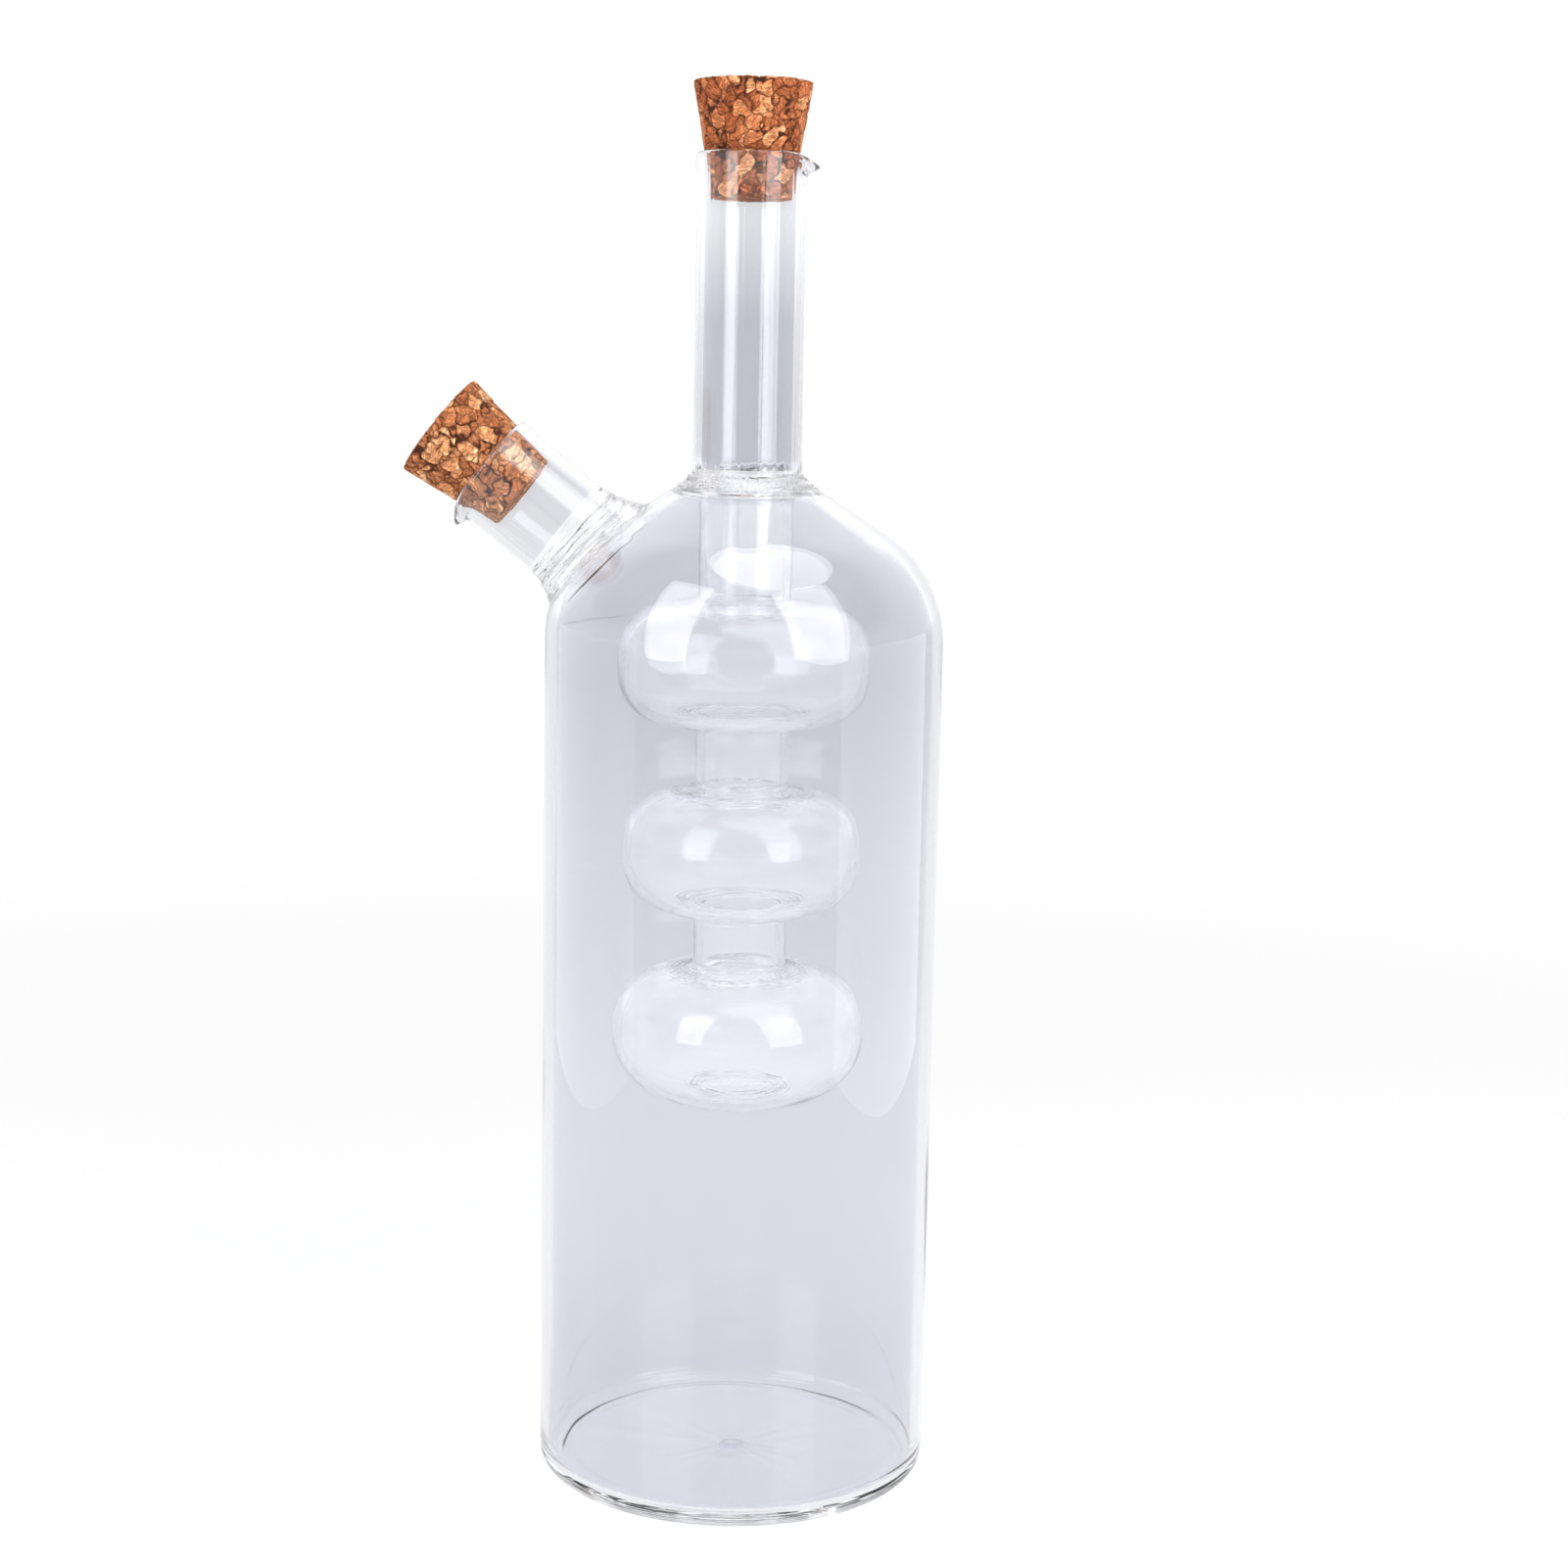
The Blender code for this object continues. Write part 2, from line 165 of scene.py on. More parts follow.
class Skin:
    """A glass surface round +Z. Each stretch is (piece, outline, row step), and they lie end to end.

    outward is 1 where the glass lies on the left of the outline's path, and -1 where on its right.
    """

    def __init__(self, stretches, outward):
        self.outward = outward
        self.shaping = []
        self.runs = []
        reach = 0.0
        for piece, outline, step in stretches:
            length = np.linalg.norm(np.diff(outline, axis=0), axis=1).sum()
            self.runs.append((piece, reach, reach + length, step))
            reach += length
        self.points = joined(*[outline for _, outline, _ in stretches])
        self.reach = np.append(0.0, np.cumsum(np.linalg.norm(np.diff(self.points, axis=0), axis=1)))
        along = unit(np.gradient(self.points, self.reach, axis=0))
        self.normals = np.column_stack((along[:, 1], -along[:, 0])) * outward

    def place(self, s, angle):
        """Points of the worked surface at path lengths s and angles round +Z."""
        s, angle = np.broadcast_arrays(s, angle)
        columns = (*self.points.T, *self.normals.T)
        radius, height, across, up = (np.interp(s, self.reach, column) for column in columns)
        drawn_out, drawn_up = radius, height
        for shape in self.shaping:
            out, more_radius, more_height = shape(s, radius, height, angle)
            drawn_out = drawn_out + out * across + more_radius
            drawn_up = drawn_up + out * up + more_height
        return np.stack((drawn_out * np.cos(angle), drawn_out * np.sin(angle), drawn_up), axis=-1)

    def facing(self, s, angle):
        """Unit normals, pointing out of the glass."""
        near, turn = 0.06 * MM, 0.004
        s = np.clip(s, near, self.reach[-1] - near)
        along = self.place(s + near, angle) - self.place(s - near, angle)
        around = self.place(s, angle + turn) - self.place(s, angle - turn)
        return unit(np.cross(around, along) * self.outward)

    def rows(self, piece):
        """Lists of path lengths, one list for each place where the piece takes part in this skin."""
        groups = []
        previous = None
        for name, start, stop, step in self.runs:
            if name == piece:
                row = np.linspace(start, stop, max(1, math.ceil((stop - start) / step)) + 1)
                groups[-1:] = [np.append(groups[-1], row[1:])] if previous == piece else groups[-1:] + [row]
            previous = name
        return groups

    def at_height(self, height, start, stop):
        """Path length where the outline climbs through a height, between two path lengths."""
        span = (self.reach > start) & (self.reach < stop)
        return np.interp(height, self.points[span, 1], self.reach[span])


class Piece:
    """Gathers the faces of one closed piece of glass, each corner with its own normal."""

    def __init__(self, name):
        self.name = name
        self.points = []
        self.normals = []
        self.faces = []
        self.seams = []
        self.count = 0

    def add(self, points, normals):
        """Index array of new corners, in the shape of the point array."""
        self.points.append(points.reshape(-1, 3))
        self.normals.append(normals.reshape(-1, 3))
        index = np.arange(self.count, self.count + points.size // 3).reshape(points.shape[:-1])
        self.count += index.size
        return index

    def grid(self, index, outward, skip=None):
        """Quads between the rows of a closed grid, without those where skip is true."""
        onward = np.roll(index, -1, axis=1)
        quads = np.stack((index[:-1], onward[:-1], onward[1:], index[1:]), axis=-1)
        quads = quads[~skip] if skip is not None else quads.reshape(-1, 4)
        self.faces += (quads if outward > 0 else quads[:, ::-1]).tolist()

    def tip(self, centre, ring, outward):
        """Fan of triangles between a ring and a corner on the axis."""
        fan = np.column_stack((np.full(len(ring), centre), ring, np.roll(ring, -1)))
        self.faces += (fan if outward > 0 else fan[:, ::-1]).tolist()

    def seam(self, ring, other):
        """Weld plane between two rings of as many corners. Seen from outside it turns from ring to other."""
        quads = np.stack((ring, np.roll(ring, -1), np.roll(other, -1), other), axis=-1)
        self.seams += quads.tolist()

    def strip(self, skin, s, matrix=None, skip=None):
        """The skin's faces between path lengths s, with a single corner where they reach the axis."""
        angles = turn_angles(TURN_STEPS if matrix is None else SPOUT_STEPS)
        points = skin.place(s[:, None], angles)
        normals = skin.facing(s[:, None], angles)
        if matrix is not None:
            turn = np.array(matrix.to_3x3())
            points = points @ turn.T + np.array(matrix.translation)
            normals = normals @ turn.T
        first = int(np.hypot(*points[0, 0, :2]) < GAP and matrix is None)
        last = len(s) - int(np.hypot(*points[-1, 0, :2]) < GAP and matrix is None)
        index = self.add(points[first:last], normals[first:last])
        self.grid(index, skin.outward, skip)
        for end, on_axis, ring, way in ((0, first, index[0], -1), (-1, last < len(s), index[-1], 1)):
            if on_axis:
                up = np.array([0.0, 0.0, np.sign(normals[end, 0, 2])])
                self.tip(self.add(points[end, 0], up).item(), ring, way * skin.outward)
        return index

    def build(self, glass, weld):
        mesh = bpy.data.meshes.new(self.name + "_glass")
        points = np.concatenate(self.points)
        mesh.from_pydata(points.tolist(), [], self.faces + self.seams)
        mesh.materials.append(glass)
        mesh.materials.append(weld)
        mesh.shade_smooth()
        slots = np.zeros(len(mesh.polygons), np.int32)
        slots[len(self.faces):] = 1
        mesh.polygons.foreach_set("material_index", slots)
        corners = np.empty(len(mesh.loops), np.int32)
        mesh.loops.foreach_get("vertex_index", corners)
        normals = np.concatenate(self.normals)[corners]
        first_seam_corner = sum(len(face) for face in self.faces)
        flat = np.empty(len(mesh.polygons) * 3)
        mesh.polygons.foreach_get("normal", flat)
        normals[first_seam_corner:] = np.repeat(flat.reshape(-1, 3)[len(self.faces):], 4, axis=0)
        mesh.normals_split_custom_set(normals.tolist())
        return place_piece(self.name, mesh, "glassware")


def place_piece(node, mesh, body):
    """Links the object that stands for a CAD node and rides on that node's body."""
    obj = bpy.data.objects.new(node + "_dressed", mesh)
    bpy.context.scene.collection.objects.link(obj)
    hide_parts(node)
    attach(obj, body)
    return obj


# Places read from the frame


def spout_matrix():
    """The side spout's own frame: +Z out along its axis, -X down towards its lip, origin on +Z's line."""
    joint = next(joint for joint in frame["joints"] if joint["child"] == "side_stopper")
    out = Vector(joint["axis"]).normalized()
    side = Vector((0, 1, 0))
    matrix = Matrix((side.cross(out), side, out)).transposed().to_4x4()
    low, high = span("side_cork", matrix)
    centre = matrix @ ((low + high) / 2)
    matrix.translation = centre - out * (centre.x / out.x)
    return matrix


def span(node, matrix):
    """Lowest and highest corner of a CAD node in another frame."""
    corners = np.array([matrix.inverted() @ corner.co for corner in frame["nodes"][node].data.vertices])
    return Vector(corners.min(0)), Vector(corners.max(0))


SPOUT = spout_matrix()
SPOUT_TURN = np.array(SPOUT.to_3x3())
SPOUT_AIM = np.array(SPOUT.translation)
BODY_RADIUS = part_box("outer_body")[1].x
BODY_BORE = BODY_RADIUS - BODY_WALL
NECK_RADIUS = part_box("centre_neck")[1].y - MOUTH_FLARE
NECK_FOOT = NECK_RADIUS + NECK_WELD_REACH
NECK_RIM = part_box("centre_neck")[1].z
WELD_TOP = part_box("neck_weld")[1].z + GAP / 2
WELD_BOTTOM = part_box("neck_weld")[0].z - GAP / 2
STEM_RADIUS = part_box("inner_stem")[1].x
STEM_BORE = STEM_RADIUS - STEM_WALL
SPOUT_RADIUS = span("side_spout", SPOUT)[1].y - MOUTH_FLARE
SPOUT_BORE = SPOUT_RADIUS - SPOUT_WALL
SPOUT_FOOT = SPOUT_RADIUS + SPOUT_WELD_REACH
SPOUT_WELD_TOP = span("spout_weld", SPOUT)[1].z + GAP / 2
SPOUT_RIM = span("side_spout", SPOUT)[1].z


# The glass's outlines


def shoulder_height(radius, inset):
    """Height of the shoulder's cone at a radius near the neck."""
    across = radius - (BODY_RADIUS - SHOULDER_RADIUS)
    climb = SHOULDER_RADIUS - inset - across * math.cos(SHOULDER_TURN)
    return SHOULDER_START + climb / math.sin(SHOULDER_TURN)


def shoulder(inset):
    """From the top of the straight wall over the arc and up the cone to the neck weld's foot."""
    centre = (BODY_RADIUS - SHOULDER_RADIUS, SHOULDER_START)
    radius = SHOULDER_RADIUS - inset
    bend = arc(centre, (radius, radius), 0, SHOULDER_TURN)
    return joined(bend, line(tuple(bend[-1]), (NECK_FOOT, shoulder_height(NECK_FOOT, inset))))


def mouth(radius, wall, foot, rim):
    """Up the outside of a flared tube, over its rounded rim and down its bore: two long runs and a bend."""
    rounding = wall / 2
    start = rim - MOUTH_FLARE_LENGTH
    heights = np.linspace(start, rim - rounding, math.ceil(MOUTH_FLARE_LENGTH / OUTLINE_STEP))
    flare = MOUTH_FLARE * ease((heights - start) / MOUTH_FLARE_LENGTH)
    crest = (radius + MOUTH_FLARE - rounding, rim - rounding)
    outside = np.column_stack((radius + flare, heights))
    inside = np.column_stack((radius - wall + flare, heights))[::-1]
    outside[-1] = (crest[0] + rounding, crest[1])
    inside[0] = (crest[0] - rounding, crest[1])
    bend = joined(outside, arc(crest, (rounding, rounding), 0, math.pi), inside)
    return line((radius, foot), (radius, start)), bend, line((radius - wall, start), (radius - wall, foot))


def bulb(node, wall):
    """Down a flattened bulb between its two tubes, on its outer face or, with wall, on its inner one."""
    low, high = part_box(node)
    middle = STEM_RADIUS + BULB_FILLET
    half = (high.z - low.z - (BULB_FILLET if node == "lower_bulb" else 2 * BULB_FILLET)) / 2
    centre = high.z - BULB_FILLET - half
    tube = STEM_BORE if wall else STEM_RADIUS
    bend = (middle - tube, BULB_FILLET + wall)
    quarter = math.pi / 2
    above = arc((middle, centre + half + BULB_FILLET), bend, 2 * quarter, 3 * quarter)
    radii = (high.x - middle - wall, half - wall)
    round_part = joined(
        swell((middle, centre), radii, quarter, 0, BULB_TOP_SQUARENESS),
        swell((middle, centre), radii, 0, -quarter, BULB_SQUARENESS[node]),
    )
    top = line((tube, high.z + GAP / 2), tuple(above[0]))
    if node == "lower_bulb":
        radii = np.linspace(middle, 0, math.ceil(middle / OUTLINE_STEP))
        rise = SEAL_DIMPLE * (1 + np.cos(math.pi * radii / middle)) / 2
        return joined(top, above, round_part, np.column_stack((radii, centre - half + wall + rise)))
    below = arc((middle, centre - half - BULB_FILLET), bend, quarter, 2 * quarter)
    return joined(top, above, round_part, below, line(tuple(below[-1]), (tube, low.z - GAP / 2)))


# The hanging vessel's tubes, each with the bulb below it, from the top down
VESSEL_PAIRS = (
    ("inner_stem", "upper_bulb"),
    ("upper_link_tube", "middle_bulb"),
    ("lower_link_tube", "lower_bulb"),
)


def vessel(wall):
    """Stretches of the hanging vessel from the neck weld down, outside or, with wall, inside."""
    tube = STEM_RADIUS if wall == 0 else STEM_BORE
    stretches = []
    top = WELD_BOTTOM
    for straight, round_one in VESSEL_PAIRS:
        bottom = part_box(round_one)[1].z + GAP / 2
        stretches.append((straight, line((tube, top), (tube, bottom)), BULB_ROW))
        stretches.append((round_one, bulb(round_one, wall), BULB_ROW))
        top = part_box(round_one)[0].z - GAP / 2
    return stretches


def air_skin():
    heel = BODY_RADIUS - HEEL_RADIUS
    foot = (NECK_FOOT, shoulder_height(NECK_FOOT, 0))
    upwards = (-math.sin(SHOULDER_TURN), math.cos(SHOULDER_TURN))
    leaving = np.array(upwards) * NECK_WELD_REACH * WELD_HANDLE
    arriving = (0, (WELD_TOP - foot[1]) * WELD_HANDLE)
    neck_bore = NECK_RADIUS - NECK_WALL
    fall = (0, -(WELD_TOP - WELD_BOTTOM) / 2)
    outside, rim, inside = mouth(NECK_RADIUS, NECK_WALL, WELD_TOP, NECK_RIM)
    stretches = [
        ("outer_body", line((0, 0), (heel, 0)), LONG_ROW),
        ("outer_body", arc((heel, HEEL_RADIUS), (HEEL_RADIUS, HEEL_RADIUS), -math.pi / 2, 0), HEEL_ROW),
        ("outer_body", line((BODY_RADIUS, HEEL_RADIUS), (BODY_RADIUS, SHOULDER_START)), LONG_ROW),
        ("outer_body", shoulder(0), BEND_ROW),
        ("neck_weld", fillet(foot, leaving, arriving, (NECK_RADIUS, WELD_TOP)), FINE_ROW),
        ("centre_neck", outside, LONG_ROW),
        ("centre_neck", rim, FINE_ROW),
        ("centre_neck", inside, LONG_ROW),
        ("neck_weld", fillet((neck_bore, WELD_TOP), fall, fall, (STEM_BORE, WELD_BOTTOM)), FINE_ROW),
    ]
    return Skin(stretches + vessel(BULB_WALL), 1)


def chamber_skin():
    corner = BODY_BORE - FLOOR_FILLET
    radii = np.linspace(0, corner, math.ceil(corner / OUTLINE_STEP))
    floor = np.column_stack((radii, BASE_THICKNESS + NUB_HEIGHT * hill(radii, NUB_RADIUS)))
    floor[-1, 1] = BASE_THICKNESS
    bend = arc((corner, BASE_THICKNESS + FLOOR_FILLET), (FLOOR_FILLET, FLOOR_FILLET), -math.pi / 2, 0)
    crown = (NECK_FOOT, shoulder_height(NECK_FOOT, BODY_WALL))
    upwards = (-math.sin(SHOULDER_TURN), math.cos(SHOULDER_TURN))
    leaving = np.array(upwards) * NECK_WELD_REACH * CROWN_HANDLES[0]
    arriving = (0, -NECK_WELD_REACH * CROWN_HANDLES[1])
    stretches = [
        ("outer_body", floor, BEND_ROW),
        ("outer_body", bend, HEEL_ROW),
        ("outer_body", line(tuple(bend[-1]), (BODY_BORE, SHOULDER_START)), LONG_ROW),
        ("outer_body", shoulder(BODY_WALL), BEND_ROW),
        ("neck_weld", fillet(crown, leaving, arriving, (STEM_RADIUS, WELD_BOTTOM)), FINE_ROW),
    ]
    return Skin(stretches + vessel(0), -1)


def spout_skin():
    """In the spout's own frame: the tube from its weld up over the rim and back down its bore."""
    outlines = mouth(SPOUT_RADIUS, SPOUT_WALL, SPOUT_WELD_TOP, SPOUT_RIM)
    row_steps = (BEND_ROW, FINE_ROW, BEND_ROW)
    return Skin([("side_spout", outline, step) for outline, step in zip(outlines, row_steps)], 1)


# What the flame leaves in the glass


WAVES_CLEAR_OF_AXIS = 8.0 * MM


def pinched(rim, lip_angle):
    """The pouring lip: the rim is drawn out and down there and keeps a small bead."""

    def shape(s, radius, height, angle):
        turn = np.remainder(angle - lip_angle + math.pi, math.tau) - math.pi
        pinch = hill(turn, LIP_HALF_WIDTH)
        pulled = pinch * ease((height - rim + LIP_DEPTH) / LIP_DEPTH)
        bead = LIP_BEAD * pinch * ease((height - rim + LIP_DEPTH / 3) / (LIP_DEPTH / 4))
        return bead, LIP_REACH * pulled, -LIP_DROP * pulled

    return shape


def ringed(mark, width, wave, depth, tilt, turn, lobes):
    """Ripples round a weld, slightly tilted and uneven round the axis. All but the mark are in mm."""
    width, wave, depth, tilt = width * MM, wave * MM, depth * MM, tilt * MM

    def shape(s, radius, height, angle):
        off = s - mark - tilt * np.cos(angle - turn)
        strength = 1 + 0.4 * np.sin(lobes * angle + 2 * turn)
        return depth * strength * hill(s - mark, width) * np.cos(math.tau * off / wave), 0, 0

    return shape


def sparkling(mark, girth, width, depth, pitch):
    """Small uneven dimples where a weld was worked, on a ring of that girth. The last three are in mm."""
    width, depth, pitch = width * MM, depth * MM, pitch * MM
    turns = round(math.tau * girth / pitch)
    crossing_turns = math.floor(0.3 * turns)

    def shape(s, radius, height, angle):
        along = math.tau * (s - mark) / pitch
        first = np.sin(turns * angle + 0.7 * along + 2.3 * np.sin(3 * angle))
        second = np.cos(1.1 * along - crossing_turns * angle + 1.9 * np.sin(5 * angle + 0.4 * along))
        patchy = 0.55 + 0.45 * np.sin(4 * angle + 0.5 * along)
        return depth * hill(s - mark, width) * first * second * patchy, 0, 0

    return shape


def wavy(depth, climbs, turns):
    """Long waves left by drawing and blowing, and finer streaks that run along the tube."""

    def shape(s, radius, height, angle):
        total = 0
        for order, (climb, around) in enumerate(zip(climbs, turns)):
            total = total + (np.sin(around * angle + climb * s + 1.7 * order) - 1) / (1 + order)
        return depth * total * ease(radius / WAVES_CLEAR_OF_AXIS), 0, 0

    return shape


def drawn(depth, turns, widest):
    """Fine lines along a drawn tube, no wider than this, that fade out where it opens up."""

    def shape(s, radius, height, angle):
        total = sum(np.sin(turn * angle + 1.3 * turn) for turn in turns)
        return depth * total * (radius < widest) * (height > WELD_TOP), 0, 0

    return shape


air = air_skin()
chamber = chamber_skin()
spout_tube = spout_skin()


def marks(skin, piece):
    """Path lengths where the piece starts and ends in a skin, for each time that it takes part."""
    return [(row[0], row[-1]) for row in skin.rows(piece)]


def work_the_neck():
    (start, end), (bore_start, _) = marks(air, "neck_weld")
    air.shaping += [
        pinched(NECK_RIM, 0.0),
        wavy(0.012 * MM, climbs=(90, 160, 60, 35), turns=(2, 5, 11, 19)),
        ringed(end - 0.7 * MM, width=1.3, wave=0.95, depth=0.13, tilt=0.35, turn=2.1, lobes=3),
        ringed(start + 0.8 * MM, width=1.3, wave=1.1, depth=0.12, tilt=0.3, turn=0.7, lobes=2),
        sparkling((start + end) / 2, NECK_RADIUS, width=1.9, depth=0.19, pitch=1.2),
        ringed(bore_start + 2.2 * MM, width=2.0, wave=1.2, depth=0.11, tilt=0.4, turn=4.4, lobes=3),
        drawn(0.004 * MM, turns=(29, 43, 61), widest=NECK_RADIUS * 1.1),
    ]
    _, end = marks(chamber, "neck_weld")[0]
    chamber.shaping += [
        wavy(0.02 * MM, climbs=(70, 130, 50, 30), turns=(3, 7, 13, 23)),
        ringed(end - 1.0 * MM, width=1.4, wave=1.1, depth=0.10, tilt=0.2, turn=1.1, lobes=2),
    ]


def work_a_bulb(skin, node, order, depth):
    """Ripples and dimples below the bulb's upper tube, and ripples above its lower tube or its seal."""
    top, bottom = marks(skin, node)[0]
    skin.shaping += [
        ringed(top + 2.4 * MM, 1.9, 1.15, depth, tilt=0.25, turn=order + 0.5, lobes=3),
        sparkling(top + 3.4 * MM, STEM_RADIUS, width=1.8, depth=0.8 * depth, pitch=1.6),
    ]
    if node == "lower_bulb":
        below = ringed(bottom - 8.0 * MM, 1.8, 1.3, depth, tilt=0.3, turn=2.2, lobes=2)
    else:
        below = ringed(bottom - 2.4 * MM, 1.9, 1.15, depth, tilt=0.25, turn=order + 2.5, lobes=2)
    skin.shaping.append(below)


def work_the_glass():
    work_the_neck()
    for order, (_, node) in enumerate(VESSEL_PAIRS):
        work_a_bulb(air, node, order, depth=0.11)
        work_a_bulb(chamber, node, order, depth=0.14)
    floor_end = chamber.at_height(BASE_THICKNESS + FLOOR_FILLET, 0, chamber.runs[2][2])
    chamber.shaping += [
        ringed(floor_end - 3.5 * MM, width=2.2, wave=3.4, depth=0.12, tilt=0.8, turn=1.9, lobes=3),
        ringed(floor_end - 2.0 * MM, width=2.2, wave=1.5, depth=0.07, tilt=0.5, turn=4.0, lobes=4),
    ]
    spout_tube.shaping += [
        pinched(SPOUT_RIM, math.pi),
        wavy(0.012 * MM, climbs=(90, 160, 60), turns=(2, 5, 11)),
    ]


work_the_glass()


# The spout's place in the shoulder


def above_shoulder(points, inset):
    """Signed distance of points from the body's surface, moved inwards by inset."""
    radius = np.hypot(points[..., 0], points[..., 1])
    climb = points[..., 2] - SHOULDER_START
    across = radius - (BODY_RADIUS - SHOULDER_RADIUS)
    on_arc = np.hypot(across, climb)
    on_cone = across * math.cos(SHOULDER_TURN) + climb * math.sin(SHOULDER_TURN)
    on_shoulder = np.where(np.arctan2(climb, across) < SHOULDER_TURN, on_arc, on_cone)
    return np.where(climb < 0, across, on_shoulder) - (SHOULDER_RADIUS - inset)


def ring_on_shoulder(skin, radius, inset):
    """Path lengths and angles on a skin of a ring round the spout's axis at a radius from it."""
    angles = turn_angles(SPOUT_STEPS)
    near, far = np.zeros(SPOUT_STEPS), np.full(SPOUT_STEPS, 2 * BODY_RADIUS)
    for _ in range(HALVINGS):
        middle = (near + far) / 2
        local = np.column_stack((radius * np.cos(angles), radius * np.sin(angles), middle))
        points = local @ SPOUT_TURN.T + SPOUT_AIM
        inside = above_shoulder(points, inset) < 0
        near, far = np.where(inside, middle, near), np.where(inside, far, middle)
    start, stop = skin.runs[2][1], skin.runs[3][2]
    return skin.at_height(points[:, 2], start, stop), np.arctan2(points[:, 1], points[:, 0]) % math.tau


PATCH_HALF = 31  # columns of the grid that the patch round the spout takes to each side
PATCH_ROWS = (2, 4)  # rows of the shoulder that it leaves below and above
PATCH_RINGS = (0.4 * MM, 0.9 * MM, 1.6 * MM)
PATCH_FLATNESS = 0.8  # mean radius of the shoulder under the patch, as a share of the body's


def fit_body(piece, skin, inset):
    """Adds the body's stretch of a skin with the spout's hole cut out, and gives its rim and its hole."""
    rows = skin.rows("outer_body")[0]
    s = rows[1:]
    low = int(np.searchsorted(s, skin.runs[3][1] + TINY)) + PATCH_ROWS[0]
    high = len(s) - 1 - PATCH_ROWS[1]
    left, right = TURN_STEPS // 2 - PATCH_HALF, TURN_STEPS // 2 + PATCH_HALF
    skip = np.zeros((len(s) - 1, TURN_STEPS), bool)
    skip[low:high, left:right] = True
    index = piece.strip(skin, rows, skip=skip)
    flat = {}

    def note(indices, path, angle):
        """Keeps where corners lie on the shoulder's surface laid flat, in mm."""
        for i, along, around in zip(indices.ravel(), np.ravel(path), np.ravel(angle)):
            flat[int(i)] = ((around - math.pi) * BODY_RADIUS * PATCH_FLATNESS / MM, along / MM)

    def ring(further):
        ring_s, ring_angle = ring_on_shoulder(skin, SPOUT_FOOT + further, inset)
        corners = piece.add(skin.place(ring_s, ring_angle), skin.facing(ring_s, ring_angle))
        return corners, ring_s, ring_angle

    hole = ring(0.0)
    grid_row, column = np.meshgrid(np.arange(low, high + 1), np.arange(left, right + 1), indexing="ij")
    grid_s, grid_angle = s[grid_row], column * math.tau / TURN_STEPS
    local = (skin.place(grid_s, grid_angle) - SPOUT_AIM) @ SPOUT_TURN
    clear = np.hypot(local[..., 0], local[..., 1]) > SPOUT_FOOT + PATCH_RINGS[-1] + BEND_ROW
    edge = (grid_row == low) | (grid_row == high) | (column == left) | (column == right)
    keep = clear | edge
    note(index[grid_row, column][keep], grid_s[keep], grid_angle[keep])
    note(*hole)
    for further in PATCH_RINGS:
        note(*ring(further))
    sides = (
        index[low, left:right],
        index[low:high, right],
        index[high, right:left:-1],
        index[high:low:-1, left],
    )
    corners = list(flat)
    order = {corner: position for position, corner in enumerate(corners)}
    edges = []
    for loop in (np.concatenate(sides), hole[0]):
        edges += [(order[int(a)], order[int(b)]) for a, b in zip(loop, np.roll(loop, -1))]
    result = delaunay_2d_cdt([Vector(flat[c]) for c in corners], edges, [], 0, 1e-7, True)
    outline = np.array([flat[int(c)] for c in hole[0]])
    for face in result[2]:
        source = [corners[result[3][v][0]] for v in face]
        if not inside_loop(np.mean([flat[c] for c in source], axis=0), outline):
            piece.faces.append(source if skin.outward > 0 else source[::-1])
    return index, hole[0]


def inside_loop(point, loop):
    """True if a flat point lies inside a closed loop of points."""
    following = np.roll(loop, -1, axis=0)
    crosses = (loop[:, 1] > point[1]) != (following[:, 1] > point[1])
    slope = (following[:, 0] - loop[:, 0]) / np.where(crosses, following[:, 1] - loop[:, 1], 1.0)
    return bool(np.count_nonzero(crosses & (point[0] < loop[:, 0] + slope * (point[1] - loop[:, 1]))) % 2)


def make_outer_body(glass, weld):
    piece = Piece("outer_body")
    outside, hole = fit_body(piece, air, 0.0)
    inside, hole_inside = fit_body(piece, chamber, BODY_WALL)
    piece.seam(outside[-1], inside[-1])
    piece.seam(hole, hole_inside)
    return piece.build(glass, weld)


def make_between(name):
    """A piece that lies between the two skins: the neck weld, or a tube or bulb of the hanging vessel."""
    piece = Piece(name)
    outside = [piece.strip(air, row) for row in air.rows(name)]
    inside = [piece.strip(chamber, row) for row in chamber.rows(name)]
    return piece, outside, inside


# Materials


def set_inputs(tree, node, inputs):
    """Each input gets its value, or a link where it is given a socket."""
    for name, value in inputs.items():
        if isinstance(value, bpy.types.NodeSocket):
            tree.links.new(value, node.inputs[name])
        else:
            node.inputs[name].default_value = value


def add(tree, kind, inputs, **settings):
    node = tree.nodes.new("ShaderNode" + kind)
    for name, value in settings.items():
        setattr(node, name, value)
    set_inputs(tree, node, inputs)
    return node


def ranged(tree, socket, low, high, start=0.0, stop=1.0, interpolation="LINEAR"):
    """Runs from low to high as the socket goes from start to stop."""
    limits = {"Value": socket, "From Min": start, "From Max": stop, "To Min": low, "To Max": high}
    return add(tree, "MapRange", limits, interpolation_type=interpolation).outputs["Result"]


def mixed(tree, blend, factor, first, second):
    inputs = {"Factor": factor, "A": first, "B": second}
    return add(tree, "Mix", inputs, data_type="RGBA", blend_type=blend).outputs["Result"]


def ramped(tree, socket, stops):
    """Colour that runs through (position, colour) stops."""
    node = add(tree, "ValToRGB", {"Fac": socket})
    elements = node.color_ramp.elements
    elements[1].position = stops[-1][0]
    for position, _ in stops[1:-1]:
        elements.new(position)
    for element, (_, colour) in zip(elements, stops):
        element.color = (*colour, 1)
    return node.outputs["Color"]


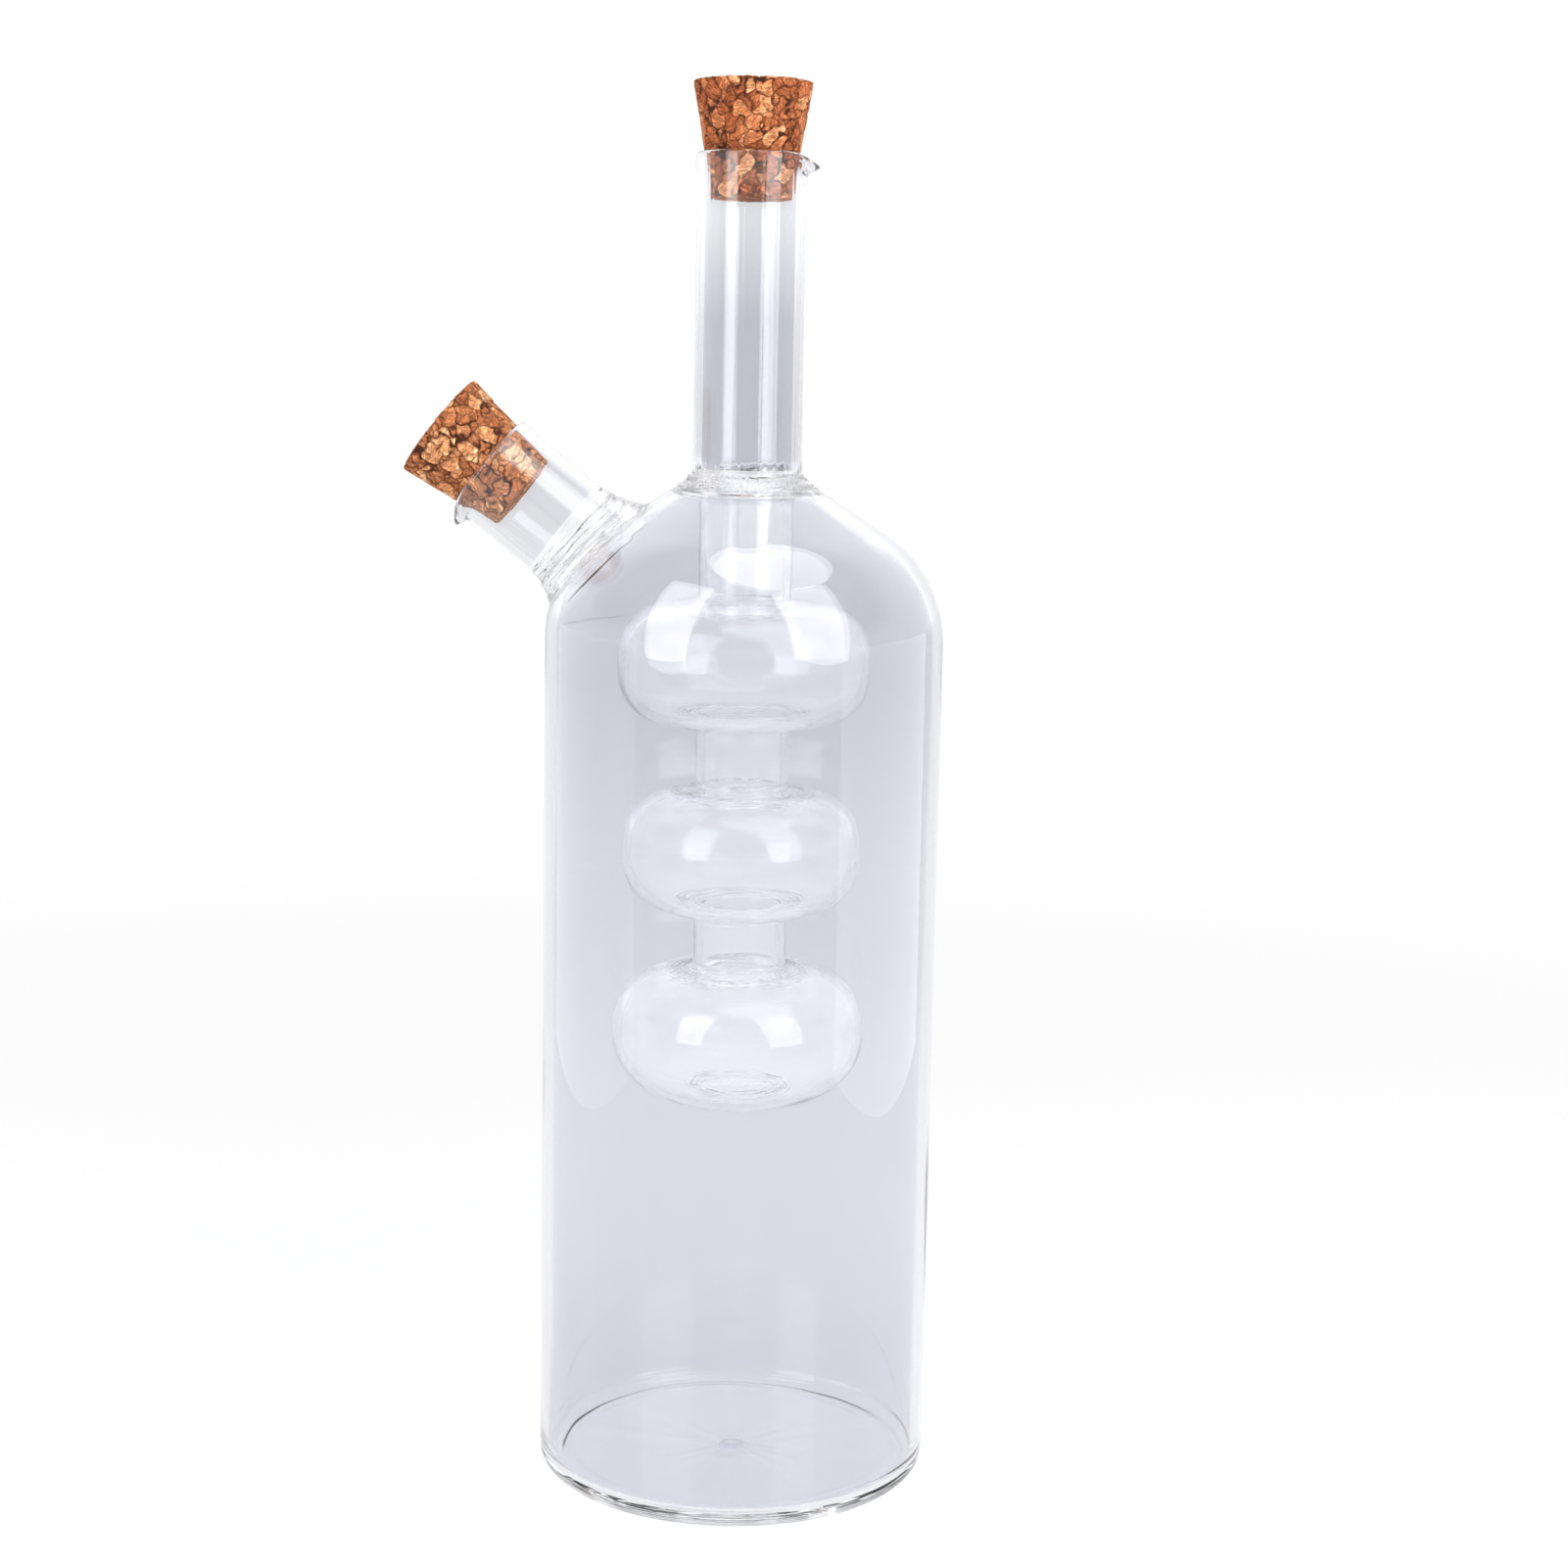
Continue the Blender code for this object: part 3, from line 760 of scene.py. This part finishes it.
def shader_material(name):
    material = bpy.data.materials.new(name)
    material.use_nodes = True
    tree = material.node_tree
    return material, tree, tree.nodes["Principled BSDF"]


def show(tree, socket):
    tree.links.new(socket, tree.nodes["Material Output"].inputs["Surface"])


def mixed_shader(tree, factor, first, second):
    return add(tree, "MixShader", {"Fac": factor, 1: first, 2: second}).outputs["Shader"]


STRIAE_SCALE = (140, 140, 22)
STRIAE_TONES = (0.975, 1.01)
SHADOW_TINT = (0.985, 0.987, 0.99, 1)


def glass_material(name, tints_and_shade, clarity=1.0, index=1.47, level=0.5):
    """Clear glass with faint striae and a grey colour of painted shade, which changes from the floor to the
    rim. Lamps shine through.
    """
    material, tree, shader = shader_material(name)
    place = add(tree, "TexCoord", {}).outputs["Object"]
    height = add(tree, "SeparateXYZ", {"Vector": place}).outputs["Z"]
    # Painted shade: the glass's grey stands in for a grey backdrop seen through it, and is darker or lighter
    # by height as light falls on each part
    tint_and_shade = ramped(tree, ranged(tree, height, 0.0, 1.0, 0.0, NECK_RIM), tints_and_shade)
    stretched = add(tree, "Mapping", {"Vector": place, "Scale": STRIAE_SCALE}).outputs["Vector"]
    striae = add(tree, "TexNoise", {"Vector": stretched, "Scale": 1.0, "Detail": 2.0}).outputs["Fac"]
    set_inputs(tree, shader, {
        "Base Color": mixed(tree, "MULTIPLY", 1.0, tint_and_shade, ranged(tree, striae, *STRIAE_TONES)),
        "Transmission Weight": clarity,
        "Roughness": 0.0,
        "IOR": index,
        "Specular IOR Level": level,
    })
    shadow = add(tree, "LightPath", {}).outputs["Is Shadow Ray"]
    through = add(tree, "BsdfTransparent", {"Color": SHADOW_TINT}).outputs["BSDF"]
    show(tree, mixed_shader(tree, shadow, shader.outputs["BSDF"], through))
    return material


def weld_material():
    """The plane where two pieces are fused: nothing of it shows."""
    material, tree, shader = shader_material("fused_weld")
    tree.nodes.remove(shader)
    show(tree, add(tree, "BsdfTransparent", {}).outputs["BSDF"])
    return material


# Colour of the cork granules, from the darkest to the palest
CORK_TONES = (
    (0.0, (0.20, 0.054, 0.019)),
    (0.15, (0.35, 0.105, 0.040)),
    (0.5, (0.49, 0.166, 0.070)),
    (0.85, (0.66, 0.270, 0.125)),
    (1.0, (0.86, 0.50, 0.285)),
)
# Painted shade: the crevices between granules are dug into the mesh and painted nearly black as shade in the
# gaps
CREVICE_SHADE_COLOUR = (0.06, 0.016, 0.006, 1)
LAYER_SCALE = (1.2, 1.2, 4.6)
GRAIN = {"Scale": 1.7, "Detail": 5.0, "Roughness": 0.7}
CHIP_SCALE = 1.5


def cork_material(name, shade):
    """Agglomerated cork: the mesh carries each granule's tone with its painted highlights and painted light,
    its crevices painted dark as shade, and its own grain direction.
    """
    material, tree, shader = shader_material(name)

    def attribute(label, output):
        return add(tree, "Attribute", {}, attribute_name=label).outputs[output]

    stops = [(at, [part * share for part, share in zip(colour, shade)]) for at, colour in CORK_TONES]
    tone = ramped(tree, attribute("granule_tone", "Fac"), stops)
    stretch = {"Vector": attribute("granule_grain", "Vector"), "Scale": LAYER_SCALE}
    layers = {"Vector": add(tree, "Mapping", stretch).outputs["Vector"]}
    grain = add(tree, "TexNoise", layers | GRAIN).outputs["Fac"]
    cells = layers | {"Scale": CHIP_SCALE}
    chips = add(tree, "TexVoronoi", cells).outputs["Color"]
    chip = add(tree, "SeparateColor", {"Color": chips}).outputs["Red"]
    # Painted shade: the chips darken towards their edges, as shade in thin cracks between them
    seam = add(tree, "TexVoronoi", cells, feature="DISTANCE_TO_EDGE").outputs["Distance"]
    for shading in (
        ranged(tree, grain, 0.55, 1.42, 0.32, 0.68),
        ranged(tree, chip, 0.72, 1.28),
        ranged(tree, seam, 0.35, 1.0, 0.0, 0.10),
    ):
        tone = mixed(tree, "MULTIPLY", 1.0, tone, shading)
    bump = add(tree, "Bump", {"Strength": 0.9, "Distance": 0.2 * MM, "Height": grain})
    set_inputs(tree, shader, {
        "Base Color": mixed(tree, "MIX", attribute("granule_crevice_shade", "Fac"), tone, CREVICE_SHADE_COLOUR),
        "Roughness": ranged(tree, grain, 0.72, 0.95),
        "Specular IOR Level": 0.25,
        "Normal": bump.outputs["Normal"],
    })
    return material


# Corks

CORK_EDGE = 0.4 * MM
CORK_END_TAPER = 0.5 * MM
CORK_WRAP_STOP = math.radians(125)
CORK_ROW = 0.17 * MM
CORK_STEPS = 368
GRANULE = 2.7 * MM
# Three noises bend the granules, because noise_vector isn't the same in every run
BEND_SHIFTS = (Vector((0, 0, 0)), Vector((31.4, 47.2, 12.8)), Vector((-19.3, 27.1, 58.6)))
GRANULE_STEP = 0.10 * MM  # how far granules lie above or below one another
CREVICE_DEPTH = 0.32 * MM
GRAIN_DEPTH = 0.06 * MM
MOUTH_PAINTED_LIGHT = 0.05  # painted light: a cork's tone is lifted where it sits in the mouth, to make up for light that the neck's glass takes


def cork_outline(mouth_radius, mouth_wall, top_radius, stand, depth):
    rounding = mouth_wall / 2
    rim_centre = (mouth_radius + MOUTH_FLARE - rounding, -rounding)
    hug = (rounding + GAP, rounding + GAP)
    end_radius = mouth_radius - mouth_wall - GAP - CORK_END_TAPER
    waist = arc(rim_centre, hug, math.pi, CORK_WRAP_STOP)
    top = arc((top_radius - CORK_EDGE, stand - CORK_EDGE), (CORK_EDGE, CORK_EDGE), 0, math.pi / 2)
    foot = arc((end_radius - CORK_EDGE, CORK_EDGE - depth), (CORK_EDGE, CORK_EDGE), -math.pi / 2, 0)
    return joined(
        line((0, -depth), tuple(foot[0])),
        foot,
        line(tuple(foot[-1]), tuple(waist[0])),
        waist,
        line(tuple(waist[-1]), tuple(top[0])),
        top,
        line(tuple(top[-1]), (0, stand)),
    )


def granules(points, seed):
    """For each point: how deep it lies below the moulded face, its tone with painted edge highlights and
    painted light inside the mouth, its crevice, dug in and painted as shade, and its grain.
    """
    depth = np.empty(len(points))
    tone = np.empty(len(points))
    crevice = np.empty(len(points))
    grain = np.empty((len(points), 3))
    turns = {}
    for i, point in enumerate(points):
        here = Vector(point) / GRANULE + seed
        bent = here + Vector([noise.noise(here * 1.6 + shift) for shift in BEND_SHIFTS]) * 0.38
        distances, centres = noise.voronoi(bent)
        centre = centres[0]
        key = tuple(round(part, 3) for part in centre)
        if key not in turns:
            pick = noise.cell_vector(centre * 37.0)
            axis = Vector((pick.y - 0.5, pick.z - 0.5, 0.3))
            turns[key] = (Matrix.Rotation(pick.x * math.tau, 3, axis), pick)
        turn, pick = turns[key]
        gap = distances[1] - distances[0]
        patchy = noise.noise(here * 0.9) + 0.35 * noise.noise(here * 4.1)
        open_seam = max(0.0, 1 - gap / (0.08 + 0.26 * max(0.0, patchy)))
        pit = max(0.0, noise.noise(here * 2.7 + seed) - 0.42) * 3
        # Painted shade: crevices and pits get a mask that paints them nearly black
        crevice[i] = min(1.0, open_seam * (0.85 + 1.6 * max(0.0, patchy)) + pit)
        # Painted highlight: a pale band just inside each granule's edge, as light catching its rim
        rim = math.exp(-(((gap - 0.22) / 0.09) ** 2)) * max(0.0, noise.noise(here * 1.9))
        # Painted light: the part of the cork inside the mouth is made paler, for light that the neck's glass
        # takes
        mouth_light = MOUTH_PAINTED_LIGHT if point[2] < 0 else 0.0
        tone[i] = min(1.0, 0.06 + 0.84 * pick.x + 0.9 * rim + mouth_light)
        own = turn @ Vector(point) / GRANULE
        rough = noise.noise(Vector((own.x * 2.2, own.y * 2.2, own.z * 9.0)))
        depth[i] = GRANULE_STEP * pick.y + CREVICE_DEPTH * crevice[i] + GRAIN_DEPTH * (1 + rough)
        grain[i] = own
    return depth, tone, crevice, grain


def make_cork(name, body, matrix, mouth_radius, mouth_wall, seed, material):
    low, high = span(name, matrix)
    outline = cork_outline(mouth_radius, mouth_wall, high.y, high.z, -low.z)
    skin = Skin([(name, outline, CORK_ROW)], 1)
    s = skin.rows(name)[0]
    angles = turn_angles(CORK_STEPS)
    flat = skin.place(s[1:-1, None], angles)
    facing = skin.facing(s[1:-1, None], angles)
    ends = np.array([[0, 0, low.z], [0, 0, high.z]])
    points = np.concatenate((flat.reshape(-1, 3), ends))
    normals = np.concatenate((facing.reshape(-1, 3), np.sign(ends)))
    depth, tone, crevice, grain = granules(points, seed)
    points = points - normals * depth[:, None]
    index = np.arange(flat.size // 3).reshape(flat.shape[:2])
    onward = np.roll(index, -1, axis=1)
    quads = np.stack((index[:-1], onward[:-1], onward[1:], index[1:]), axis=-1).reshape(-1, 4)
    bottom = np.column_stack((onward[0], index[0], np.full(CORK_STEPS, index.size)))
    top = np.column_stack((index[-1], onward[-1], np.full(CORK_STEPS, index.size + 1)))
    mesh = bpy.data.meshes.new(name + "_granules")
    mesh.from_pydata(points.tolist(), [], quads.tolist() + bottom.tolist() + top.tolist())
    mesh.transform(matrix)
    mesh.materials.append(material)
    mesh.shade_smooth()
    for label, kind, values in (
        ("granule_tone", "FLOAT", tone),
        ("granule_crevice_shade", "FLOAT", crevice),
        ("granule_grain", "FLOAT_VECTOR", grain),
    ):
        layer = mesh.attributes.new(label, kind, "POINT")
        layer.data.foreach_set("vector" if kind == "FLOAT_VECTOR" else "value", values.ravel())
    return place_piece(name, mesh, body)


# The object

# Colours of the glass at shares of the bottle's height. Those of the body, neck and spout are painted shade:
# grey that stands in for a backdrop seen through the glass, darker or lighter by height as light falls on
# each part
BODY_TINTS_PAINTED_SHADE = (
    (0.0, (0.79, 0.796, 0.82)),
    (0.013, (0.79, 0.796, 0.82)),
    (0.022, (0.75, 0.758, 0.807)),
    (0.2, (0.834, 0.842, 0.89)),
    (0.33, (0.836, 0.844, 0.891)),
    (0.5, (0.785, 0.793, 0.838)),
    (0.62, (0.735, 0.743, 0.788)),
    (0.75, (0.81, 0.818, 0.86)),
)
NECK_TINTS_PAINTED_SHADE = (
    (0.0, (0.715, 0.725, 0.765)),
    (0.88, (0.715, 0.725, 0.765)),
    (0.95, (0.87, 0.875, 0.895)),
)
SPOUT_TINTS_PAINTED_SHADE = ((0.0, (0.86, 0.865, 0.885)), (1.0, (0.86, 0.865, 0.885)))
VESSEL_TINTS = ((0.0, (0.996, 0.995, 0.993)), (1.0, (0.996, 0.995, 0.993)))
WELD_TINTS = ((0.0, (0.975, 0.978, 0.985)), (1.0, (0.975, 0.978, 0.985)))

SADDLE_RIPPLE = 0.075 * MM
THROAT_RIPPLE = 0.05 * MM


def make_glassware():
    weld = weld_material()
    neck_glass = glass_material("neck_glass", NECK_TINTS_PAINTED_SHADE, level=0.36)
    vessel_glass = glass_material("vessel_glass", VESSEL_TINTS, clarity=0.95, index=1.43)
    worked_glass = glass_material("worked_glass", WELD_TINTS)
    make_outer_body(glass_material("body_glass", BODY_TINTS_PAINTED_SHADE), weld)

    piece, (outside, bore), (under,) = make_between("neck_weld")
    piece.seam(under[0], outside[0])
    piece.seam(outside[-1], bore[0])
    piece.seam(bore[-1], under[-1])
    piece.build(worked_glass, weld)

    piece = Piece("centre_neck")
    walls = piece.strip(air, air.rows("centre_neck")[0])
    piece.seam(walls[-1], walls[0])
    piece.build(neck_glass, weld)

    for name in sum(VESSEL_PAIRS, ()):
        piece, (bore,), (outside,) = make_between(name)
        piece.seam(outside[0], bore[0])
        if name != "lower_bulb":
            piece.seam(bore[-1], outside[-1])
        piece.build(vessel_glass, weld)

    make_spout_weld(worked_glass, weld)
    piece = Piece("side_spout")
    walls = piece.strip(spout_tube, spout_tube.rows("side_spout")[0], SPOUT)
    piece.seam(walls[-1], walls[0])
    piece.build(glass_material("spout_glass", SPOUT_TINTS_PAINTED_SHADE), weld)


def grid_normals(points):
    along = np.gradient(points, axis=0)
    around = np.roll(points, -1, axis=1) - np.roll(points, 1, axis=1)
    return unit(np.cross(around, along))


def weld_ripples(share, angles):
    """Uneven rings that run round the spout weld, at shares of the way up it."""
    coarse = np.sin(share * 24 + 0.9 * np.sin(2 * angles + 0.6))
    middling = 0.7 * np.sin(share * 47 - 1.4 * np.sin(angles))
    fine = 0.5 * np.sin(share * 73 + 1.1 * np.sin(3 * angles)) * np.cos(6 * angles + 9 * share)
    return coarse + middling + fine


def make_spout_weld(glass, weld):
    """The saddle that rises from the shoulder to the spout's tube, and the throat inside it."""
    angles = turn_angles(SPOUT_STEPS)
    ray = np.column_stack((np.cos(angles), np.sin(angles), np.zeros(SPOUT_STEPS)))
    radial, out = ray @ SPOUT_TURN.T, SPOUT_TURN[:, 2]
    piece = Piece("spout_weld")
    strips = []
    for skin, inset, end, radius, handle, ripple in (
        (air, 0.0, 0.0, SPOUT_RADIUS, WELD_HANDLE, SADDLE_RIPPLE),
        (chamber, BODY_WALL, spout_tube.reach[-1], SPOUT_BORE, BORE_HANDLE, THROAT_RIPPLE),
    ):
        s, angle = ring_on_shoulder(skin, SPOUT_FOOT, inset)
        foot, facing = skin.place(s, angle), skin.facing(s, angle)
        towards = unit(-radial + facing * (radial * facing).sum(1)[:, None])
        top = spout_tube.place(end, angles) @ SPOUT_TURN.T + SPOUT_AIM
        rise = SPOUT_WELD_TOP - (foot - SPOUT_AIM) @ out
        straight = np.empty((0, SPOUT_STEPS, 3))
        if inset:
            crown = top - np.multiply.outer(rise - SPOUT_BORE_FILLET, out)
            straight = sweep(crown, out * FINE_ROW, out * FINE_ROW, top, 3)[1:]
            top, rise = crown, np.full(SPOUT_STEPS, SPOUT_BORE_FILLET)
        leaving = towards * (SPOUT_FOOT - radius) * handle
        points = sweep(foot, leaving, out * (rise * handle)[:, None], top, WELD_ROWS)
        points = np.concatenate((points, straight))
        normals = grid_normals(points)
        normals[0] = facing * skin.outward
        normals[-1] = radial
        share = np.linspace(0, 1, len(points))[:, None]
        lift = np.sqrt(4 * share * (1 - share))
        points = points + normals * (weld_ripples(share, angles) * lift * ripple)[..., None]
        bent = grid_normals(points)
        bent[0], bent[-1] = normals[0], normals[-1]
        strips.append(piece.add(points, bent * skin.outward))
        piece.grid(strips[-1], skin.outward)
    piece.seam(strips[0][-1], strips[1][-1])
    piece.seam(strips[1][0], strips[0][0])
    piece.build(glass, weld)


def make_corks():
    rim = Matrix.Translation((0, 0, NECK_RIM))
    material = cork_material("cork_granules", (1.07, 0.94, 0.79))
    seed = Vector((3.1, 7.7, 1.9))
    make_cork("centre_cork", "centre_stopper", rim, NECK_RADIUS, NECK_WALL, seed, material)
    rim = SPOUT @ Matrix.Translation((0, 0, SPOUT_RIM))
    material = cork_material("side_cork_granules", (1.08, 1.14, 1.04))
    seed = Vector((-5.3, 2.2, 8.4))
    make_cork("side_cork", "side_stopper", rim, SPOUT_RADIUS, SPOUT_WALL, seed, material)


# The studio

FLOOR_DROP = 0.05 * MM
FLOOR_RADIUS = 4.0
FLOOR_COLOUR = (0.92, 0.92, 0.93, 1)
FLOOR_GLOW = (0.72, 1.0)  # share of plain white near the bottle and away from it
FLOOR_GLOW_REACH = (0.15, 0.6)
LAMP_SHARE = 0.25  # strength of the world as a lamp
WHITE = (1.0, 1.0, 1.0, 1)
BACKDROP_TONE = (1.3, 1.3, 1.32, 1)
FRONT_TONE = (0.40, 0.405, 0.42, 1)
CEILING_TONE = (0.48, 0.485, 0.50, 1)
SWEEP = Vector((0, 1.0, -0.42))  # the backdrop ends overhead where the direction's part along this is nil


def looked_at(tree):
    """1 for camera rays and for all that mirrors and glass show, and 0 for a lamp's own light."""
    path = add(tree, "LightPath", {})
    both = {0: path.outputs["Is Camera Ray"], 1: path.outputs["Is Glossy Ray"]}
    first = add(tree, "Math", both, operation="MAXIMUM").outputs["Value"]
    both = {0: first, 1: path.outputs["Is Transmission Ray"]}
    return add(tree, "Math", both, operation="MAXIMUM").outputs["Value"]


def make_floor():
    """Pale floor, which turns plain white to the eye away from the bottle and keeps its shadow."""
    half = FLOOR_RADIUS
    corners = [(x * half, y * half, -FLOOR_DROP) for x, y in ((-1, -1), (1, -1), (1, 1), (-1, 1))]
    mesh = bpy.data.meshes.new("studio_floor")
    mesh.from_pydata(corners, [], [(0, 1, 2, 3)])
    material, tree, shader = shader_material("pale_floor")
    set_inputs(tree, shader, {"Base Color": FLOOR_COLOUR, "Roughness": 0.9, "Specular IOR Level": 0.0})
    place = add(tree, "NewGeometry", {}).outputs["Position"]
    away = add(tree, "VectorMath", {0: place}, operation="LENGTH").outputs["Value"]
    shares = {0: ranged(tree, away, *FLOOR_GLOW, *FLOOR_GLOW_REACH), 1: looked_at(tree)}
    share = add(tree, "Math", shares, operation="MULTIPLY").outputs["Value"]
    glow = add(tree, "Emission", {}).outputs["Emission"]
    show(tree, mixed_shader(tree, share, shader.outputs["BSDF"], glow))
    mesh.materials.append(material)
    floor = bpy.data.objects.new("studio_floor", mesh)
    bpy.context.scene.collection.objects.link(floor)


def make_world():
    """A white studio with a grey ceiling and a greyer front above the horizon.

    The camera, mirrored light and light through the glass see it at full strength. As a lamp it is weaker.
    """
    world = bpy.data.worlds.new("studio")
    bpy.context.scene.world = world
    world.use_nodes = True
    tree = world.node_tree
    way = add(tree, "TexCoord", {}).outputs["Generated"]
    split = add(tree, "SeparateXYZ", {"Vector": way})
    back, up = split.outputs["Y"], split.outputs["Z"]
    sweep_side = add(tree, "VectorMath", {0: way, 1: SWEEP}, operation="DOT_PRODUCT").outputs["Value"]

    def toned(socket, start, stop, base, colour):
        """Goes smoothly from base to colour, as a part of the direction goes from start to stop."""
        factor = ranged(tree, socket, 0.0, 1.0, start, stop, "SMOOTHSTEP")
        return mixed(tree, "MIX", factor, base, colour)

    front = toned(up, 0.0, 0.12, WHITE, FRONT_TONE)
    beside = toned(up, -0.02, 0.07, WHITE, BACKDROP_TONE)
    sides = toned(back, 0.84, 0.945, beside, WHITE)
    low = toned(back, -0.2, -0.7, sides, front)
    high = toned(sweep_side, -0.16, 0.22, CEILING_TONE, BACKDROP_TONE)
    set_inputs(tree, tree.nodes["Background"], {
        "Color": toned(up, 0.10, 0.34, low, high),
        "Strength": ranged(tree, looked_at(tree), LAMP_SHARE, 1.0),
    })


LIGHT_TARGET = Vector((0, 0, 170 * MM))
# Softboxes: name, azimuth, elevation, distance, width, height and radiance
SOFTBOXES = (
    ("key_left", -42, 24, 0.9, 0.44, 1.08, 4.2),
    ("key_right", 47, 23, 0.9, 0.58, 1.04, 3.7),
)
OVERHEAD_PLACE = (0.20, -0.13, 0.97)
OVERHEAD_WIDTH = 0.80
OVERHEAD_RADIANCE = 3.2
# Dim cards beside the bottle, which show in its reflections and not through the glass
CARDS = (("card_left", -1, 0.75), ("card_right", 1, 1.2))
CARD_REACH = 0.28
CARD_BACK = 0.01
CARD_WIDTH = 0.38
CARD_HEIGHT = 0.165


def lamp(name, location, turn, width, height, radiance, shape="RECTANGLE"):
    """Flat lamp that shines along its own -Z."""
    data = bpy.data.lights.new(name, "AREA")
    data.shape = shape
    data.size = width
    data.size_y = height
    area = width * height * (math.pi / 4 if shape == "ELLIPSE" else 1)
    data.energy = radiance * math.pi * area
    obj = bpy.data.objects.new(name, data)
    obj.matrix_world = Matrix.Translation(location) @ turn
    obj.visible_camera = False
    bpy.context.scene.collection.objects.link(obj)
    return obj


def softbox(name, azimuth, elevation, distance, width, height, radiance):
    """Lamp that faces the bottle. Azimuth 0 is in front, towards -Y, and 90 at +X."""
    azimuth, elevation = math.radians(azimuth), math.radians(elevation)
    level = math.cos(elevation)
    back = Vector((math.sin(azimuth) * level, -math.cos(azimuth) * level, math.sin(elevation)))
    turn = back.to_track_quat("Z", "Y").to_matrix().to_4x4()
    lamp(name, LIGHT_TARGET + back * distance, turn, width, height, radiance)


def make_lights():
    for values in SOFTBOXES:
        softbox(*values)
    lamp("overhead", OVERHEAD_PLACE, Matrix(), OVERHEAD_WIDTH, OVERHEAD_WIDTH, OVERHEAD_RADIANCE, "ELLIPSE")
    for name, side, radiance in CARDS:
        turn = Matrix.Rotation(side * math.pi / 2, 4, "Y")
        place = (side * CARD_REACH, CARD_BACK, CARD_HEIGHT / 2)
        card = lamp(name, place, turn, CARD_HEIGHT, CARD_WIDTH, radiance)
        card.visible_transmission = False


# The camera stands where the photograph was taken from

CAMERA_AZIMUTH = math.radians(2.5)
CAMERA_DISTANCE = 471.2 * MM
CAMERA_HEIGHT = 196.0 * MM
CAMERA_PITCH = math.radians(8.60)
CAMERA_YAW = math.radians(0.91)
CAMERA_ROLL = math.radians(1.12)
CAMERA_LENS = 61.63


def make_camera():
    data = bpy.data.cameras.new("camera")
    data.sensor_width = 36.0
    data.lens = CAMERA_LENS
    camera = bpy.data.objects.new("camera", data)
    spin = Matrix.Rotation(CAMERA_AZIMUTH, 4, "Z")
    level = math.cos(CAMERA_PITCH)
    forward = Vector((math.sin(CAMERA_YAW) * level, math.cos(CAMERA_YAW) * level, -math.sin(CAMERA_PITCH)))
    right = forward.cross(Vector((0, 0, 1))).normalized()
    up = right.cross(forward)
    rolled_right = right * math.cos(CAMERA_ROLL) + up * math.sin(CAMERA_ROLL)
    rolled_up = up * math.cos(CAMERA_ROLL) - right * math.sin(CAMERA_ROLL)
    turn = Matrix((rolled_right, rolled_up, -forward)).transposed().to_4x4()
    camera.matrix_world = spin @ Matrix.Translation((0, -CAMERA_DISTANCE, CAMERA_HEIGHT)) @ turn
    bpy.context.scene.collection.objects.link(camera)
    bpy.context.scene.camera = camera


def set_up_render():
    """Enough bounces for light that goes to and fro inside the glass before it leaves it."""
    scene = bpy.context.scene
    scene.view_settings.view_transform = "Standard"
    scene.cycles.max_bounces = 64
    scene.cycles.transmission_bounces = 64
    scene.cycles.glossy_bounces = 26
    scene.cycles.transparent_max_bounces = 48


make_camera()
make_glassware()
make_corks()
make_floor()
make_world()
make_lights()
set_up_render()
